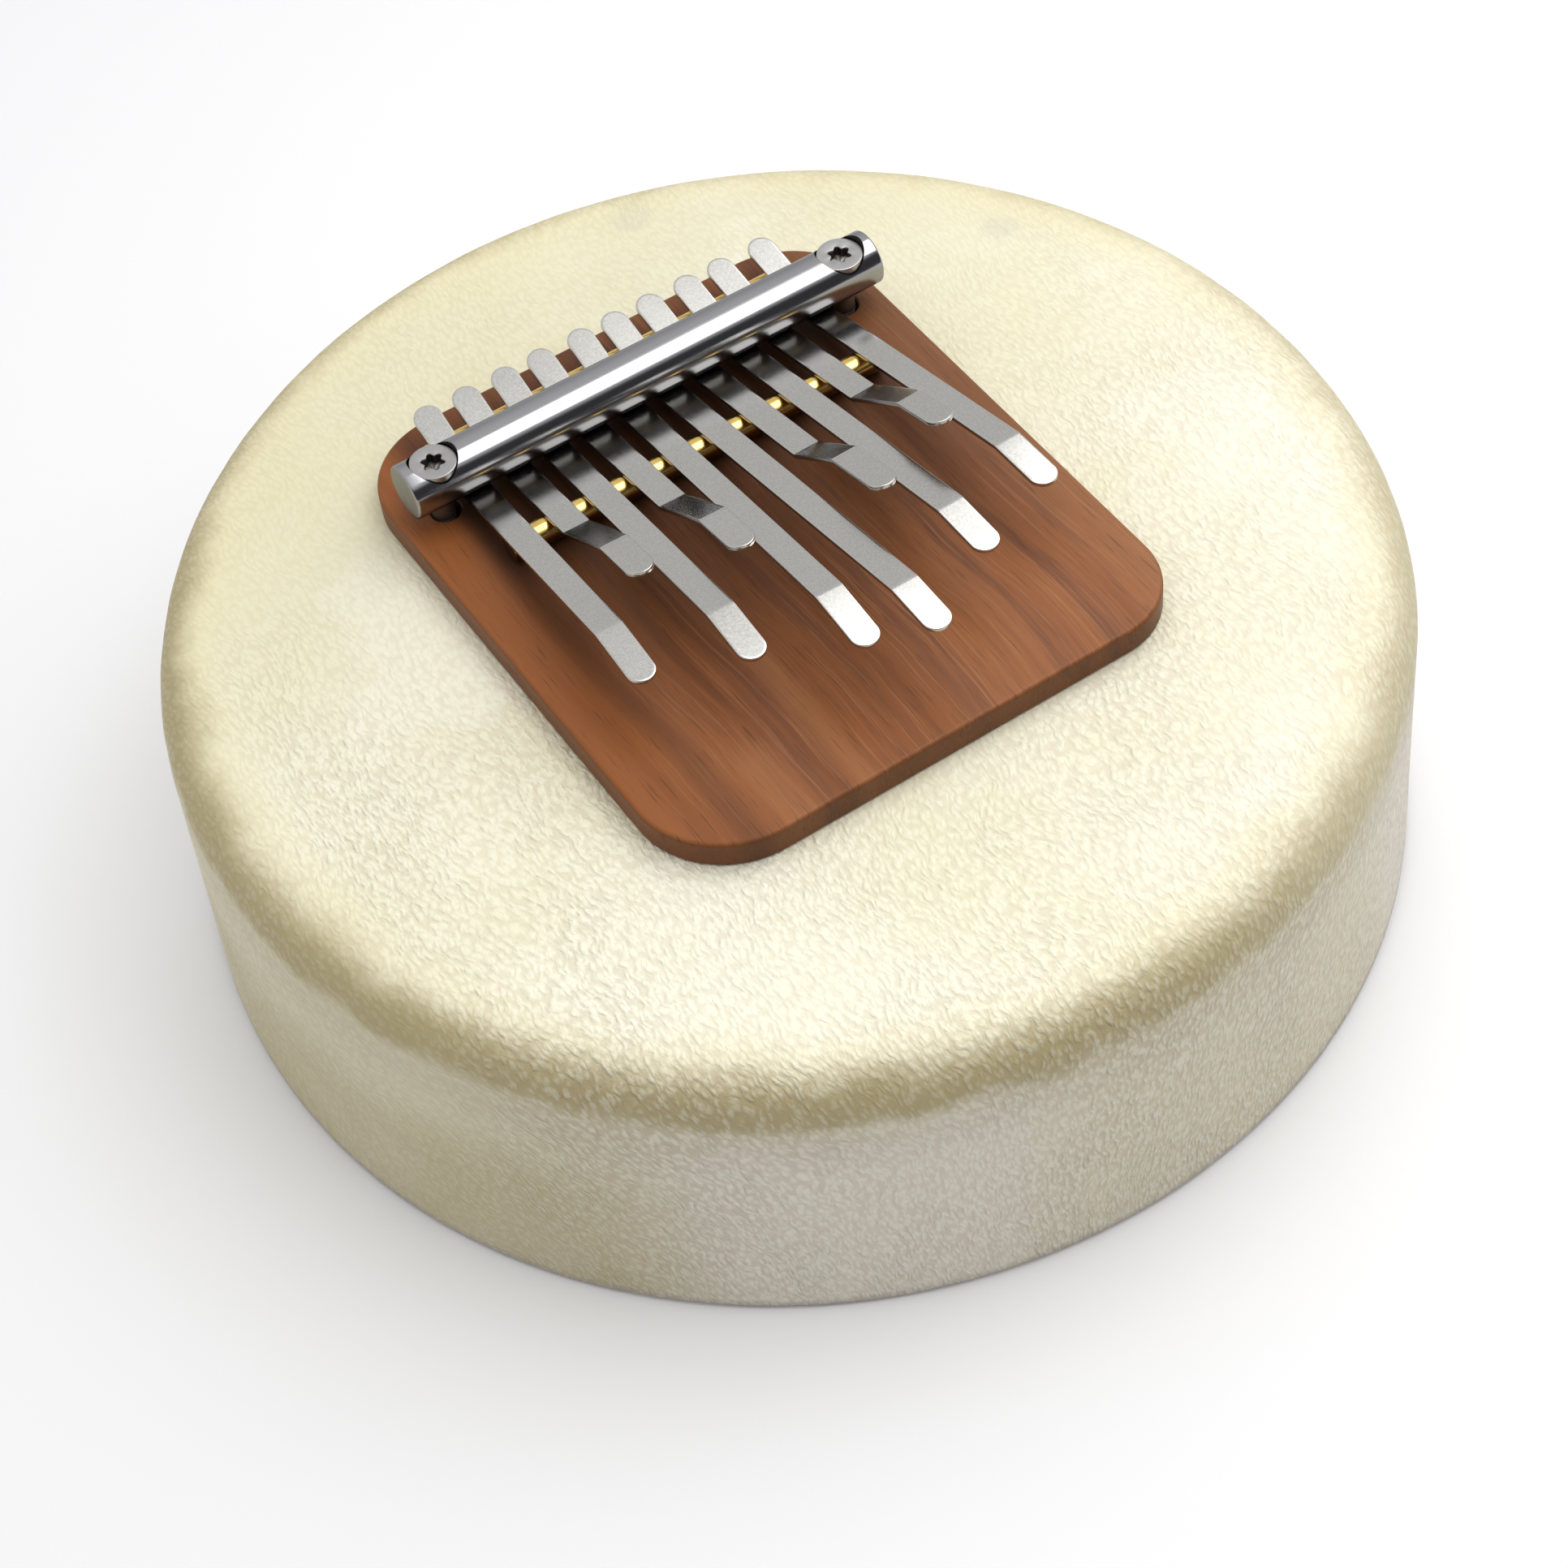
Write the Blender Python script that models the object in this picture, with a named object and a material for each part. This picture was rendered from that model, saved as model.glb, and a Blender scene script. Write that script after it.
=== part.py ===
"""Round kalimba on a frame drum, modelled piece by piece.

Frame: metres, +Z up.  The origin is the centre of the drum's bottom rim, +X runs
along the clamp bar towards the player's right, and the tines reach towards the
player at -Y.  Lengths below are in millimetres and are scaled by MM.
"""
import math

import bmesh
import bpy
from mathutils import Vector

for _ob in list(bpy.data.objects):
    bpy.data.objects.remove(_ob, do_unlink=True)

MM = 0.001

# ---- drum ---------------------------------------------------------------
SEGMENTS = 80            # facets round the drum
SKIN_R = 127.9           # outside radius of the covered drum at the rim
SKIN_TOP = 69.1          # top of the head
SKIN_T = 0.9             # hide thickness
RIM_R = 10.0             # outside radius of the rim's turn
FLARE = 1.9              # the wall stands this much wider at its foot
SKIN_FOOT = 1.2          # the hide is trimmed this far above the floor
GAP = 0.2                # between pieces that touch
SHELL_INNER_R = 115.0

# ---- sound plate ----------------------------------------------------------
PLATE_X = (-57.7, 59.3)
PLATE_Y = (-60.6, 75.0)
PLATE_TOP = 75.57
PLATE_CORNERS = (20.0, 19.4, 20.2, 16.4)   # rear right, rear left, front left, front right
PLATE_EASE = 0.7
HOLE_R = 3.2
HOLE_SHIFT = (0.5, 0.0)  # left and right hole, from their screw's axis along +X

# ---- clamp ------------------------------------------------------------------
BAR_X = (-55.4, 57.7)
BAR_Y = 49.64
BAR_Z = 85.34
BAR_R = 5.94
BAR_EASE = 0.6
SCREW_X = (-48.05, 50.5)
HEAD_TOP = 89.88
HEAD_R = 4.95
HEAD_CYL = 2.0
SHANK_R = 2.45
SHANK_END = 61.0
RECESS_DEPTH = 2.3
RECESS_R = 2.17
RECESS_WAVE = 0.38
RECESS_TURN = (23.0, 12.5)
NUT_AF = 8.0
NUT_H = 4.0
WASHER_R = 7.5
WASHER_T = 1.2

# ---- bridges ------------------------------------------------------------------
FRONT_ROD_R = 2.95
FRONT_ROD_FORWARD = 20.2
FRONT_ROD_X = (-43.9, 45.6)
REAR_ROD_R = 2.5
REAR_ROD_BACK = 12.6
REAR_ROD_X = (-43.9, 45.6)

# ---- tines ----------------------------------------------------------------------
TINE_T = 1.0
TINE_W = 6.1
STUB = 20.9
SPLIT_GAP = 0.3
MAIN_BEND_R = 5.0
# per note: (x under the bar, fan angle, distances forward of the bar's axis of the
# bends and of the tip, angles of the runs after each bend)
TINES = [
    (-40.85, 2.2, (60.0, 75.0), (-3.2,)),
    (-31.37, 1.3, (28.4, 45.6, 58.0), (31.8, 12.0)),
    (-22.15, 1.7, (70.3, 84.4), (-3.8,)),
    (-13.13, 0.7, (35.1, 52.2, 64.9), (31.8, 10.5)),
    (-3.6, 1.75, (80.6, 96.0), (-4.0,)),
    (5.34, -0.25, (88.8, 102.1), (-3.4,)),
    (14.32, -1.2, (40.3, 54.6, 69.7), (35.2, 13.4)),
    (23.79, -1.45, (75.4, 89.3), (-4.0,)),
    (32.55, -2.4, (32.7, 49.3, 61.4), (33.8, 13.4)),
    (42.86, -2.25, (66.8, 80.9), (-3.0,)),
]


# ---- helpers ----------------------------------------------------------------------
def material(name, colour, roughness, metallic=0.0):
    mat = bpy.data.materials.new(name)
    mat.use_nodes = True
    bsdf = mat.node_tree.nodes["Principled BSDF"]
    bsdf.inputs["Base Color"].default_value = (*colour, 1.0)
    bsdf.inputs["Roughness"].default_value = roughness
    bsdf.inputs["Metallic"].default_value = metallic
    return mat


def add_object(name, bm, mat, smooth_angle=35.0, location=(0, 0, 0), rotation=(0, 0, 0), parent=None):
    bmesh.ops.recalc_face_normals(bm, faces=bm.faces)
    mesh = bpy.data.meshes.new(name)
    bm.to_mesh(mesh)
    bm.free()
    mesh.shade_smooth()
    mesh.set_sharp_from_angle(angle=math.radians(smooth_angle))
    ob = bpy.data.objects.new(name, mesh)
    bpy.context.scene.collection.objects.link(ob)
    ob.location = Vector(location) * MM
    ob.rotation_euler = rotation
    if parent is not None:
        ob.parent = parent
    if mat is not None:
        mesh.materials.append(mat)
    return ob


def lathe(profile, segments, ring=False):
    """Turn (r, z) points round Z.  A ring profile closes on itself; any other
    profile starts and ends on the axis."""
    bm = bmesh.new()
    rows = []
    for r, z in profile:
        if r == 0.0:
            rows.append([bm.verts.new((0, 0, z * MM))])
        else:
            rows.append([
                bm.verts.new((r * MM * math.cos(2 * math.pi * k / segments),
                              r * MM * math.sin(2 * math.pi * k / segments), z * MM))
                for k in range(segments)
            ])
    pairs = list(zip(rows, rows[1:]))
    if ring:
        pairs.append((rows[-1], rows[0]))
    for a, b in pairs:
        for k in range(segments):
            n = (k + 1) % segments
            if len(a) == 1 and len(b) == 1:
                continue
            if len(a) == 1:
                bm.faces.new((a[0], b[n], b[k]))
            elif len(b) == 1:
                bm.faces.new((a[k], a[n], b[0]))
            else:
                bm.faces.new((a[k], a[n], b[n], b[k]))
    return bm


def loft(outlines, fan=False):
    """Closed solid through outlines with the same number of points each; fan
    closes the ends on a point at their middle, for outlines that curve inwards."""
    bm = bmesh.new()
    rows = [[bm.verts.new(Vector(p) * MM) for p in row] for row in outlines]
    for a, b in zip(rows, rows[1:]):
        for k in range(len(a)):
            n = (k + 1) % len(a)
            bm.faces.new((a[k], a[n], b[n], b[k]))
    for row in (rows[0], rows[-1]):
        if fan:
            middle = bm.verts.new(sum((v.co for v in row), Vector()) / len(row))
            for k in range(len(row)):
                bm.faces.new((row[k], row[(k + 1) % len(row)], middle))
        else:
            bm.faces.new(row)
    return bm


def cut(ob, cutter, name):
    cutter.hide_render = True
    cutter.display_type = 'WIRE'
    mod = ob.modifiers.new(name, 'BOOLEAN')
    mod.operation = 'DIFFERENCE'
    mod.solver = 'EXACT'
    mod.object = cutter


def arc(cx, cy, r, a0, a1, n):
    return [(cx + r * math.cos(math.radians(a0 + (a1 - a0) * k / n)),
             cy + r * math.sin(math.radians(a0 + (a1 - a0) * k / n))) for k in range(n + 1)]


def rounded_rectangle(x0, x1, y0, y1, radii, n):
    pts = []
    for sx, sy, r, a in ((x1, y1, radii[0], 0), (x0, y1, radii[1], 90), (x0, y0, radii[2], 180), (x1, y0, radii[3], 270)):
        cx = sx - r if sx == x1 else sx + r
        cy = sy - r if sy == y1 else sy + r
        pts += arc(cx, cy, r, a, a + 90, n)
    return pts


# ---- materials ------------------------------------------------------------------------
HIDE = material("hide", (0.80, 0.74, 0.58), 0.62)
SHELL_WOOD = material("shell_wood", (0.55, 0.38, 0.22), 0.6)
PLATE_WOOD = material("plate_wood", (0.30, 0.13, 0.07), 0.45)
STEEL = material("steel", (0.62, 0.62, 0.62), 0.28, 1.0)
TURNED_STEEL = material("turned_steel", (0.70, 0.70, 0.69), 0.2, 1.0)
BRASS = material("brass", (0.78, 0.55, 0.22), 0.25, 1.0)

# ---- drum -------------------------------------------------------------------------------
rim_cx = SKIN_R - RIM_R
rim_cz = SKIN_TOP - RIM_R


def side_r(z, inset):
    """Radius of the flared wall at height z, set in from the hide's outside."""
    return SKIN_R + FLARE * (rim_cz - z) / rim_cz - inset


outer = [(0.0, SKIN_TOP), (60.0, SKIN_TOP)] + [p for p in arc(rim_cx, rim_cz, RIM_R, 90, 0, 6)]
outer += [(side_r(SKIN_FOOT, 0.0), SKIN_FOOT)]
inner = [(side_r(SKIN_FOOT, SKIN_T), SKIN_FOOT)] + arc(rim_cx, rim_cz, RIM_R - SKIN_T, 0, 90, 6)
inner += [(60.0, SKIN_TOP - SKIN_T), (0.0, SKIN_TOP - SKIN_T)]
skin = add_object("drum_skin", lathe(outer + inner, SEGMENTS), HIDE)

inset = SKIN_T + GAP
shell_profile = [(SHELL_INNER_R, 0.0), (side_r(0.0, inset), 0.0)]
shell_profile += arc(rim_cx, rim_cz, RIM_R - inset, 0, 90, 6)
shell_profile += [(SHELL_INNER_R + 2.0, SKIN_TOP - inset), (SHELL_INNER_R, SKIN_TOP - inset - 2.0)]
shell = add_object("drum_shell", lathe(shell_profile, SEGMENTS, ring=True), SHELL_WOOD)

# ---- sound plate ----------------------------------------------------------------------------
plate_bottom = SKIN_TOP + GAP
full = rounded_rectangle(PLATE_X[0], PLATE_X[1], PLATE_Y[0], PLATE_Y[1], PLATE_CORNERS, 10)
eased = rounded_rectangle(PLATE_X[0] + PLATE_EASE, PLATE_X[1] - PLATE_EASE,
                          PLATE_Y[0] + PLATE_EASE, PLATE_Y[1] - PLATE_EASE,
                          [r - PLATE_EASE for r in PLATE_CORNERS], 10)
plate = add_object("sound_plate", loft([
    [(x, y, plate_bottom) for x, y in full],
    [(x, y, PLATE_TOP - PLATE_EASE) for x, y in full],
    [(x, y, PLATE_TOP) for x, y in eased],
]), PLATE_WOOD)

for side, sx, shift in zip(("left", "right"), SCREW_X, HOLE_SHIFT):
    drill = add_object("drill_" + side, lathe([(0.0, 80.0), (HOLE_R, 80.0), (HOLE_R, 65.0), (0.0, 65.0)], 24),
                       None, location=(sx + shift, BAR_Y, 0))
    cut(plate, drill, "clearance_" + side)
    cut(skin, drill, "punched_" + side)

# ---- clamp bar and its screws ------------------------------------------------------------------
bar_len = BAR_X[1] - BAR_X[0]
bar = add_object("clamp_bar", lathe([
    (0.0, bar_len), (BAR_R - BAR_EASE, bar_len), (BAR_R, bar_len - BAR_EASE),
    (BAR_R, BAR_EASE), (BAR_R - BAR_EASE, 0.0), (0.0, 0.0)], 48), TURNED_STEEL,
    location=(BAR_X[0], BAR_Y, BAR_Z), rotation=(0, math.radians(90), 0))

for side, sx, turn in zip(("left", "right"), SCREW_X, RECESS_TURN):
    head_low = HEAD_TOP - HEAD_CYL
    seat = HEAD_R - SHANK_R
    counterbore = add_object("counterbore_" + side, lathe([
        (0.0, HEAD_TOP + 6.0), (HEAD_R + 0.25, HEAD_TOP + 6.0), (HEAD_R + 0.25, head_low - 0.28),
        (SHANK_R + 0.3, head_low - 0.28 - seat + 0.05), (SHANK_R + 0.3, BAR_Z - 9.0), (0.0, BAR_Z - 9.0)], 32),
        None, location=(sx, BAR_Y, 0))
    cut(bar, counterbore, "seat_" + side)

    screw = add_object("clamp_screw_" + side, lathe([
        (0.0, HEAD_TOP), (HEAD_R - 0.15, HEAD_TOP), (HEAD_R, HEAD_TOP - 0.15), (HEAD_R, head_low),
        (SHANK_R, head_low - seat), (SHANK_R, SHANK_END + 0.6), (SHANK_R - 0.6, SHANK_END), (0.0, SHANK_END)], 32),
        TURNED_STEEL, location=(sx, BAR_Y, 0))
    lobes = []
    for k in range(36):
        a = 2 * math.pi * (k + 0.37) / 36
        r = RECESS_R + RECESS_WAVE * math.cos(6 * a)
        lobes.append((r * math.cos(a + math.radians(turn)), r * math.sin(a + math.radians(turn))))
    driver = add_object("recess_" + side, loft([
        [(x, y, HEAD_TOP - RECESS_DEPTH) for x, y in lobes],
        [(x, y, HEAD_TOP + 1.0) for x, y in lobes]], fan=True), None, location=(sx, BAR_Y, 0))
    cut(screw, driver, "six_lobe_" + side)

    washer_top = SKIN_TOP - SKIN_T - GAP
    add_object("clamp_washer_" + side, lathe([
        (SHANK_R + 0.3, washer_top), (SHANK_R + 0.3, washer_top - WASHER_T),
        (WASHER_R, washer_top - WASHER_T), (WASHER_R, washer_top)], 32, ring=True),
        STEEL, location=(sx, BAR_Y, 0))

    nut_top = washer_top - WASHER_T - GAP
    corner = NUT_AF / 2 / math.cos(math.radians(30))
    hexagon = [(corner * math.cos(math.radians(60 * k)), corner * math.sin(math.radians(60 * k))) for k in range(6)]
    nut = add_object("clamp_nut_" + side, loft([
        [(x, y, nut_top - NUT_H) for x, y in hexagon],
        [(x, y, nut_top) for x, y in hexagon]]), STEEL, smooth_angle=20.0, location=(sx, BAR_Y, 0))
    bore = add_object("nut_bore_" + side, lathe([
        (0.0, nut_top + 2.0), (SHANK_R + 0.2, nut_top + 2.0),
        (SHANK_R + 0.2, nut_top - NUT_H - 2.0), (0.0, nut_top - NUT_H - 2.0)], 24), None, location=(sx, BAR_Y, 0))
    cut(nut, bore, "thread_" + side)

# ---- bridges ---------------------------------------------------------------------------------------


def rod(name, x0, x1, y, r, mat, segments=20):
    length = x1 - x0
    ease = 0.25
    return add_object(name, lathe([
        (0.0, length), (r - ease, length), (r, length - ease), (r, ease), (r - ease, 0.0), (0.0, 0.0)], segments),
        mat, location=(x0, y, PLATE_TOP + GAP + r), rotation=(0, math.radians(90), 0))


rod("front_bridge", *FRONT_ROD_X, BAR_Y - FRONT_ROD_FORWARD, FRONT_ROD_R, BRASS)
rod("rear_bridge", *REAR_ROD_X, BAR_Y + REAR_ROD_BACK, REAR_ROD_R, BRASS)

# ---- tines -------------------------------------------------------------------------------------------
half_t = TINE_T / 2


def tangent_run(rod_r, distance):
    """Angle of a straight run that passes under the bar and over a bridge rod,
    measured on the tine's mid-plane."""
    under = BAR_R + GAP + half_t
    over = rod_r + GAP + half_t
    drop = BAR_Z - (PLATE_TOP + GAP + rod_r)
    span = math.hypot(distance, drop)
    return math.asin((under + over) / span) - math.atan2(drop, distance)


FRONT_ANGLE = tangent_run(FRONT_ROD_R, FRONT_ROD_FORWARD)
REAR_ANGLE = tangent_run(REAR_ROD_R, REAR_ROD_BACK)
UNDER = BAR_R + GAP + half_t

# the mid-plane's point over the front bridge, where the speaking part starts
HINGE_W = FRONT_ROD_FORWARD - (FRONT_ROD_R + GAP + half_t) * math.sin(FRONT_ANGLE)
HINGE_Z = PLATE_TOP + GAP + FRONT_ROD_R + (FRONT_ROD_R + GAP + half_t) * math.cos(FRONT_ANGLE)


def fillet(points, radius, n=4):
    """Round the inner corners of an open polyline."""
    out = [points[0]]
    for p, c, q in zip(points, points[1:], points[2:]):
        a = Vector(c) - Vector(p)
        b = Vector(q) - Vector(c)
        a.normalize()
        b.normalize()
        turn = a.angle(b)
        t = radius * math.tan(turn / 2)
        start = Vector(c) - a * t
        end = Vector(c) + b * t
        for k in range(n + 1):
            f = k / n
            out.append(tuple(start.lerp(Vector(c), f).lerp(Vector(c).lerp(end, f), f)))
    out.append(points[-1])
    return out


def round_end(path, radius):
    """Replace the last point by stations whose half-width follows a round end."""
    p, q = Vector(path[-2]), Vector(path[-1])
    d = (q - p).normalized()
    rows = [(pt, TINE_W / 2) for pt in path[:-1]]
    for deg in (0, 20, 40, 58, 72, 83):
        a = math.radians(deg)
        rows.append((tuple(q - d * radius * (1 - math.sin(a))), radius * math.cos(a)))
    return rows


def ribbon(rows):
    """Flat strip of thickness TINE_T swept along rows of ((w, z), half width);
    w runs forward from the bar's axis, towards -Y."""
    pts = [Vector(p) for p, _ in rows]
    outlines = []
    for k, (_, h) in enumerate(rows):
        d = (pts[min(k + 1, len(pts) - 1)] - pts[max(k - 1, 0)]).normalized()
        nx, nz = -d.y, d.x
        c = pts[k]
        top = (c.x + nx * half_t, c.y + nz * half_t)
        low = (c.x - nx * half_t, c.y - nz * half_t)
        outlines.append([(-h, -top[0], top[1]), (h, -top[0], top[1]), (h, -low[0], low[1]), (-h, -low[0], low[1])])
    return loft(outlines)


for number, (tx, fan, reach, angles) in enumerate(TINES, start=1):
    frame = bpy.data.objects.new("fan_%02d" % number, None)
    bpy.context.scene.collection.objects.link(frame)
    frame.location = Vector((tx, BAR_Y, 0)) * MM
    frame.rotation_euler = (0, 0, -math.radians(fan))

    # clamped part: stub end, arc under the bar, up to the front bridge
    stub_w = -STUB
    a0 = -REAR_ANGLE
    stub_z = BAR_Z - UNDER * math.cos(a0) + (-STUB - UNDER * math.sin(a0)) * math.tan(a0)
    root_path = [(stub_w, stub_z)]
    for k in range(5):
        a = a0 + (FRONT_ANGLE - a0) * k / 4
        root_path.append((UNDER * math.sin(a), BAR_Z - UNDER * math.cos(a)))
    forward = Vector((math.cos(FRONT_ANGLE), math.sin(FRONT_ANGLE)))
    hinge = Vector((HINGE_W, HINGE_Z))
    root_path.append(tuple(hinge - forward * SPLIT_GAP / 2))
    root_rows = round_end(root_path[::-1], TINE_W / 2)[::-1]
    add_object("tine_%02d_root" % number, ribbon(root_rows), STEEL, smooth_angle=30.0, parent=frame)

    # speaking part: straight run, bends, tip
    run = [tuple(hinge + forward * SPLIT_GAP / 2)]
    w, z, a = HINGE_W, HINGE_Z, FRONT_ANGLE
    for target, nxt in zip(reach, tuple(angles) + (None,)):
        z += (target - w) * math.tan(a)
        w = target
        run.append((w, z))
        if nxt is not None:
            a = math.radians(nxt)
    tongue_rows = round_end(fillet(run, MAIN_BEND_R), TINE_W / 2)
    local = [((p[0] - HINGE_W, p[1] - HINGE_Z), h) for p, h in tongue_rows]
    add_object("tine_%02d_tongue" % number, ribbon(local), STEEL, smooth_angle=30.0,
               location=(0, -HINGE_W, HINGE_Z), parent=frame)
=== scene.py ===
"""Visual model of the round kalimba, built round the fixed frame.

Metres, +Z up.  The origin is the centre of the drum's foot, +X runs along the
clamp bar and the tines reach towards -Y.  Lengths in the tables are millimetres.
"""
import math

import bmesh
import bpy
import numpy as np
from mathutils import Matrix, Vector, noise


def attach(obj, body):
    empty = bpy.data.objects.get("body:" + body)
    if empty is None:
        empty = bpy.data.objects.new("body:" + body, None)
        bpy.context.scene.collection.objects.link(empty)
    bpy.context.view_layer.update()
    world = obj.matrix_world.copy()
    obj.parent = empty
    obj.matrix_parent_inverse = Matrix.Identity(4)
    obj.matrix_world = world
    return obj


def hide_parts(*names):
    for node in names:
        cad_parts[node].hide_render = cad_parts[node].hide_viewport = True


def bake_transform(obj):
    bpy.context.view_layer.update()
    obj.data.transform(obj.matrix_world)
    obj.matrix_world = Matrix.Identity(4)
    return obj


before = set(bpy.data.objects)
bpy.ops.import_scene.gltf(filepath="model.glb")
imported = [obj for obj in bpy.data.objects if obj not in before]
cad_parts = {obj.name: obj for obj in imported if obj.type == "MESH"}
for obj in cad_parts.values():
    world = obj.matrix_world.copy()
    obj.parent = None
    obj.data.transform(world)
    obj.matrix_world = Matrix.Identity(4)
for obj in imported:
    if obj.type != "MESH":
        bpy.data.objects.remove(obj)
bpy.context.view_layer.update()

MM = 0.001
TAU = 2 * math.pi

# ---- sizes shared with the frame ------------------------------------------------------
SKIN_R, SKIN_TOP, SKIN_T, RIM_R, FLARE, SKIN_FOOT, GAP = 127.9, 69.1, 0.9, 10.0, 1.9, 1.2, 0.2
SHELL_INNER_R = 115.0
PLATE_X, PLATE_Y, PLATE_TOP = (-57.7, 59.3), (-60.6, 75.0), 75.57
PLATE_CORNERS = (20.0, 19.4, 20.2, 16.4)   # rear right, rear left, front left, front right
HOLE_R, HOLE_X = 3.2, (-47.55, 50.5)
BAR_X, BAR_Y, BAR_Z, BAR_R = (-55.4, 57.7), 49.64, 85.34, 5.94
SCREW_X, HEAD_TOP, HEAD_R, HEAD_CYL = (-48.05, 50.5), 89.88, 4.95, 2.0
SHANK_R, SHANK_END, RECESS_DEPTH = 2.45, 61.0, 2.3
RECESS_TURN = (23.0, 12.5)                 # degrees, left and right
NUT_AF, NUT_H, WASHER_R, WASHER_T = 8.0, 4.0, 7.5, 1.2
FRONT_ROD_R, FRONT_ROD_FORWARD = 2.95, 20.2
REAR_ROD_R, REAR_ROD_BACK = 2.5, 12.6
ROD_X = (-43.9, 45.6)
TINE_T, TINE_W, STUB = 1.0, 6.1, 20.9
TINES = [
    (-40.85, 2.2, (60.0, 75.0), (-3.2,)),
    (-31.37, 1.3, (28.4, 45.6, 58.0), (31.8, 12.0)),
    (-22.15, 1.7, (70.3, 84.4), (-3.8,)),
    (-13.13, 0.7, (35.1, 52.2, 64.9), (31.8, 10.5)),
    (-3.6, 1.75, (80.6, 96.0), (-4.0,)),
    (5.34, -0.25, (88.8, 102.1), (-3.4,)),
    (14.32, -1.2, (40.3, 54.6, 69.7), (35.2, 13.4)),
    (23.79, -1.45, (75.4, 89.3), (-4.0,)),
    (32.55, -2.4, (32.7, 49.3, 61.4), (33.8, 13.4)),
    (42.86, -2.25, (66.8, 80.9), (-3.0,)),
]

# ---- node helpers ---------------------------------------------------------------------


class Mat:
    """Small wrapper that keeps procedural materials short."""

    def __init__(self, name):
        self.mat = bpy.data.materials.new(name)
        self.mat.use_nodes = True
        self.nt = self.mat.node_tree
        self.bsdf = self.nt.nodes["Principled BSDF"]
        self.coords = self.nt.nodes.new("ShaderNodeTexCoord")
        self.obj = self.coords.outputs["Object"]

    def new(self, kind, **values):
        node = self.nt.nodes.new(kind)
        for key, val in values.items():
            setattr(node, key, val)
        return node

    def link(self, a, b):
        self.nt.links.new(a, b)

    def feed(self, sock, val):
        if hasattr(val, "is_linked"):
            self.link(val, sock)
        elif isinstance(val, tuple) and len(val) == 3 and sock.type == 'RGBA':
            sock.default_value = (*val, 1.0)
        else:
            sock.default_value = val

    def mapped(self, scale=(1, 1, 1), rot=(0, 0, 0), loc=(0, 0, 0), vec=None):
        m = self.new("ShaderNodeMapping")
        m.inputs["Scale"].default_value = scale
        m.inputs["Rotation"].default_value = rot
        m.inputs["Location"].default_value = loc
        self.link(self.obj if vec is None else vec, m.inputs["Vector"])
        return m.outputs["Vector"]

    def noise(self, vec, scale, detail=4.0, rough=0.55, distortion=0.0, colour=False):
        n = self.new("ShaderNodeTexNoise")
        n.inputs["Scale"].default_value = scale
        n.inputs["Detail"].default_value = detail
        n.inputs["Roughness"].default_value = rough
        n.inputs["Distortion"].default_value = distortion
        self.link(vec, n.inputs["Vector"])
        return n.outputs["Color" if colour else "Fac"]

    def cells(self, vec, scale, smooth=0.5, random=1.0):
        v = self.new("ShaderNodeTexVoronoi", feature='SMOOTH_F1', voronoi_dimensions='2D')
        v.inputs["Scale"].default_value = scale
        v.inputs["Smoothness"].default_value = smooth
        v.inputs["Randomness"].default_value = random
        self.link(vec, v.inputs["Vector"])
        return v.outputs["Distance"]

    def ramp(self, fac, stops, interp='LINEAR'):
        r = self.new("ShaderNodeValToRGB")
        r.color_ramp.interpolation = interp
        els = r.color_ramp.elements
        while len(els) < len(stops):
            els.new(0.5)
        for e, (pos, col) in zip(els, stops):
            e.position = pos
            e.color = (*col, 1.0)
        self.link(fac, r.inputs["Fac"])
        return r.outputs["Color"]

    def mix(self, fac, a, b, blend='MIX'):
        m = self.new("ShaderNodeMix", data_type='RGBA', blend_type=blend)
        self.feed(m.inputs[0], fac)
        self.feed(m.inputs[6], a)
        self.feed(m.inputs[7], b)
        return m.outputs[2]

    def math(self, op, a, b=0.0, clamp=False):
        m = self.new("ShaderNodeMath", operation=op, use_clamp=clamp)
        self.feed(m.inputs[0], a)
        self.feed(m.inputs[1], b)
        return m.outputs[0]

    def add(self, *terms):
        out = terms[0]
        for t in terms[1:]:
            out = self.math('ADD', out, t)
        return out

    def mul(self, a, b):
        return self.math('MULTIPLY', a, b)

    def span(self, val, a, b, c=0.0, d=1.0, smooth=False):
        m = self.new("ShaderNodeMapRange")
        if smooth:
            m.interpolation_type = 'SMOOTHSTEP'
        for key, v in (("From Min", a), ("From Max", b), ("To Min", c), ("To Max", d)):
            m.inputs[key].default_value = v
        self.link(val, m.inputs["Value"])
        return m.outputs["Result"]

    def bell(self, val, centre, width):
        """1 at the centre, fading out smoothly at one width to either side."""
        off = self.math('ABSOLUTE', self.math('SUBTRACT', val, centre))
        return self.span(off, 0.0, width, 1.0, 0.0, smooth=True)

    def split(self, vec):
        s = self.new("ShaderNodeSeparateXYZ")
        self.link(vec, s.inputs[0])
        return s.outputs["X"], s.outputs["Y"], s.outputs["Z"]

    def join(self, x, y, z):
        c = self.new("ShaderNodeCombineXYZ")
        for sock, val in zip(c.inputs, (x, y, z)):
            self.feed(sock, val)
        return c.outputs[0]

    def bump(self, height, strength, distance, normal=None):
        b = self.new("ShaderNodeBump")
        b.inputs["Strength"].default_value = strength
        b.inputs["Distance"].default_value = distance
        self.link(height, b.inputs["Height"])
        if normal is not None:
            self.link(normal, b.inputs["Normal"])
        return b.outputs["Normal"]

    def set(self, **values):
        for key, val in values.items():
            self.feed(self.bsdf.inputs[key.replace("_", " ")], val)


# ---- materials --------------------------------------------------------------------------


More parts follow.
